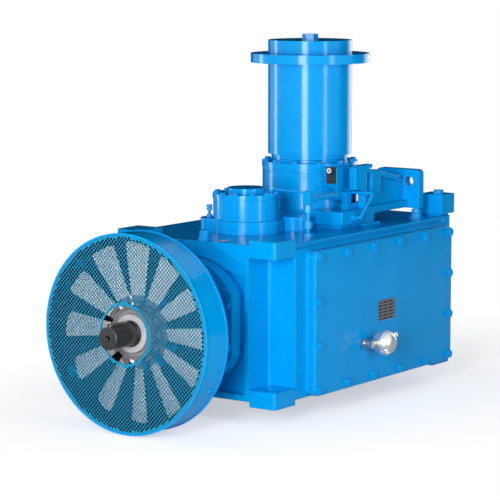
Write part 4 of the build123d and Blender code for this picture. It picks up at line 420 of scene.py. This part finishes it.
guide_x, guide_inner, guide_outer, guide_thick = -766.3, 122.0, 301.2, 2.0
air_guide_plate = add_object("air_guide_plate", *flat_ring((guide_x, 0.0, input_axis_z), guide_inner,
                                                           guide_outer, steps=120))
thicken(air_guide_plate, guide_thick, 0.0)
# The plate's fan side is painted near-black: painted shade.
air_guide_plate.data.materials.append(cowl_enamel)
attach(air_guide_plate, "base")

# Shafts, gears and bearings. Turned and ground alloy steel: the shaft end is dark with its preserving
# oil, in fine rings round the axis, gears are a plain satin grey, bearings and rivets are bright, and
# the clamp ring in front of the fan is phosphated, pale and matt.
shaft_steel = grained("oiled_ground_shaft_steel", "#454547", "#626264", metallic=0.9, roughness=0.3,
                      grain_per_metre=(700, 14, 14), depth_mm=0.05, edge_mm=1.2)
inner_steel = grained("ground_gear_steel", "#6E6D6B", "#9A9997", metallic=1.0, roughness=0.28,
                      grain_per_metre=(60, 60, 60), depth_mm=0.05, edge_mm=0.5)
bright_steel = grained("bright_turned_steel", "#A9AAAB", "#D6D7D8", metallic=1.0, roughness=0.25,
                       grain_per_metre=(500, 30, 30), depth_mm=0.05, edge_mm=0.6)
ring_steel = grained("phosphated_turned_steel", "#A6A7AB", "#B8B9BD", metallic=0.1, roughness=0.5,
                     grain_per_metre=(500, 30, 30), depth_mm=0.1, edge_mm=1.0)
finish_nodes(ring_steel, "fan_clamp_ring")
finish_nodes(shaft_steel, "input_shaft", "shaft_key")
finish_nodes(inner_steel, "intermediate_shaft", "output_shaft", "bevel_gear", "output_wheel", "shaft_nut",
             "input_spacer", "output_spacer")
finish_nodes(bright_steel, "input_bearing_rollers", "input_outer_rings",
             "intermediate_bearing_rollers", "intermediate_outer_rings", "output_bearing_rollers",
             "output_outer_rings", "thermometer_fitting", "name_plate_rivets")

# Thermometer head. A small die-cast aluminium connection head with a screwed cap, tumbled
# and left bare, brighter and smoother than the fan.
head_alloy = grained("tumbled_die_cast_aluminium", "#C9CBCD", "#EDEEEF", metallic=0.9, roughness=0.34,
                     grain_per_metre=(160, 160, 160), depth_mm=0.15, edge_mm=1.2)
finish_nodes(head_alloy, "thermometer_head")

# Seals and gaskets. Black nitrile rubber lips and oiled fibre gaskets, matt, a thin dark line
# at each joint.
nitrile = grained("black_nitrile_rubber", "#101010", "#1E1E1E", metallic=0.0, roughness=0.65,
                  grain_per_metre=(120, 120, 120), depth_mm=0.1, edge_mm=0.4)
finish_nodes(nitrile, "input_seal", "output_seal", "cover_gaskets")

# Name plate. Black anodised aluminium, parted by bare engraved lines into empty fields and left
# without any words, on four dome-headed rivets.
plate_black = grained("black_anodised_aluminium", "#2C2A2D", "#3C393D", metallic=0.2, roughness=0.38,
                      grain_per_metre=(40, 900, 40), depth_mm=0.03, edge_mm=0.4)
finish_nodes(plate_black, "name_plate")
field_width, field_height, line_width = 0.0325, 0.0105, 0.0009
plate_tree = plate_black.node_tree
plate_shader = plate_tree.nodes["Principled BSDF"]
plate_axes = add_node(plate_tree, "ShaderNodeSeparateXYZ", {},
                      Vector=add_node(plate_tree, "ShaderNodeTexCoord").outputs["Object"])
plate_flat = add_node(plate_tree, "ShaderNodeCombineXYZ", {},
                      X=plate_axes.outputs["X"], Y=plate_axes.outputs["Z"])
engraved = add_node(plate_tree, "ShaderNodeTexBrick",
                    {"offset": 0.0, "Scale": 1.0, "Mortar Size": line_width, "Mortar Smooth": 0.1,
                     "Brick Width": field_width, "Row Height": field_height},
                    Vector=plate_flat.outputs[0])
plate_colour = add_node(plate_tree, "ShaderNodeMix", {"data_type": "RGBA", 7: srgb("#A3A2A0")},
                        i0=engraved.outputs["Fac"],
                        i6=plate_shader.inputs["Base Color"].links[0].from_socket)
plate_tree.links.new(plate_colour.outputs[2], plate_shader.inputs["Base Color"])

# Oil sensor. A moulded black thermoplastic plug, screwed to the manifold, with a pale ring round
# its socket.
sensor_black = grained("moulded_black_polyamide", "#1D1B1D", "#2B282B", metallic=0.0, roughness=0.45,
                       grain_per_metre=(200, 200, 200), depth_mm=0.1, edge_mm=1.0)
finish_nodes(sensor_black, "oil_sensor")
socket_place, socket_inner, socket_outer, socket_thick = (0.4, -156.0, 687.2), 4.0, 8.5, 1.2
sensor_ring = add_object("sensor_ring", *flat_ring(socket_place, socket_inner, socket_outer, steps=32))
thicken(sensor_ring, socket_thick, 0.0)
ring_plastic = grained("pale_grey_polyamide", "#D9D6D2", "#ECEAE6", metallic=0.0, roughness=0.4,
                       grain_per_metre=(200, 200, 200), depth_mm=0.1, edge_mm=0.3)
sensor_ring.data.materials.append(ring_plastic)
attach(sensor_ring, "base")


# Cap of the thermometer head. A proud rim round the screwed cap, and two bosses cast on that rim
# across from each other, each with its screw inside.
def turned_profile(centre_x, centre_z, profile, steps):
    """A profile of (place along Y, radius) pairs in mm, turned round an axis parallel to Y and given back
    in metres."""
    turn = np.linspace(0, 2 * np.pi, steps, endpoint=False)
    along, radius = np.array(profile).T
    points = np.stack([centre_x + radius[:, None] * np.cos(turn), np.repeat(along[:, None], steps, 1),
                       centre_z + radius[:, None] * np.sin(turn)], 2)
    row, step = np.meshgrid(np.arange(len(profile) - 1), np.arange(steps), indexing="ij")
    after = (step + 1) % steps
    faces = np.stack([row * steps + step, row * steps + after,
                      (row + 1) * steps + after, (row + 1) * steps + step], 2)
    return points.reshape(-1, 3) / 1000, faces.reshape(-1, 4)


head_x, head_z, boss_reach, diagonal = -39.0, 152.0, 35.5, 0.707
boss_profile = [(-402.0, 0.2), (-402.0, 8.5), (-424.0, 8.5), (-426.5, 7.5), (-427.5, 5.5), (-426.0, 5.0),
                (-426.0, 0.2)]
rim_profile = [(-399.0, 37.0), (-399.0, 39.3), (-400.0, 40.0), (-405.5, 40.0), (-406.5, 39.3),
               (-406.5, 37.0)]
cap_points, cap_faces = [], []
for reach, profile, steps in ((boss_reach, boss_profile, 20), (-boss_reach, boss_profile, 20),
                              (0.0, rim_profile, 64)):
    points, faces = turned_profile(head_x + diagonal * reach, head_z + diagonal * reach, profile, steps)
    cap_faces.append(faces + sum(len(p) for p in cap_points))
    cap_points.append(points)
head_cap_rim = add_object("head_cap_rim", np.concatenate(cap_points), np.concatenate(cap_faces))
head_cap_rim.data.materials.append(head_alloy)
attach(head_cap_rim, "base")

# Roof label. A plain varnished paper label, orange-brown, stuck on the roof of the casing
# behind the input end.
label_corners = [(-488.0, -86.0), (-455.0, -86.0), (-455.0, -68.0), (-488.0, -68.0)]
label_top, label_thick = 503.3, 0.3
roof_label = add_object("roof_label", [(x / 1000, y / 1000, label_top / 1000) for x, y in label_corners],
                        [(0, 1, 2, 3)])
thicken(roof_label, label_thick, -1.0)
label_paper = grained("varnished_paper_label", "#B98E6E", "#CBA487", metallic=0.0, roughness=0.45,
                      grain_per_metre=(150, 150, 150), depth_mm=0.05, edge_mm=0.1)
roof_label.data.materials.append(label_paper)
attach(roof_label, "base")
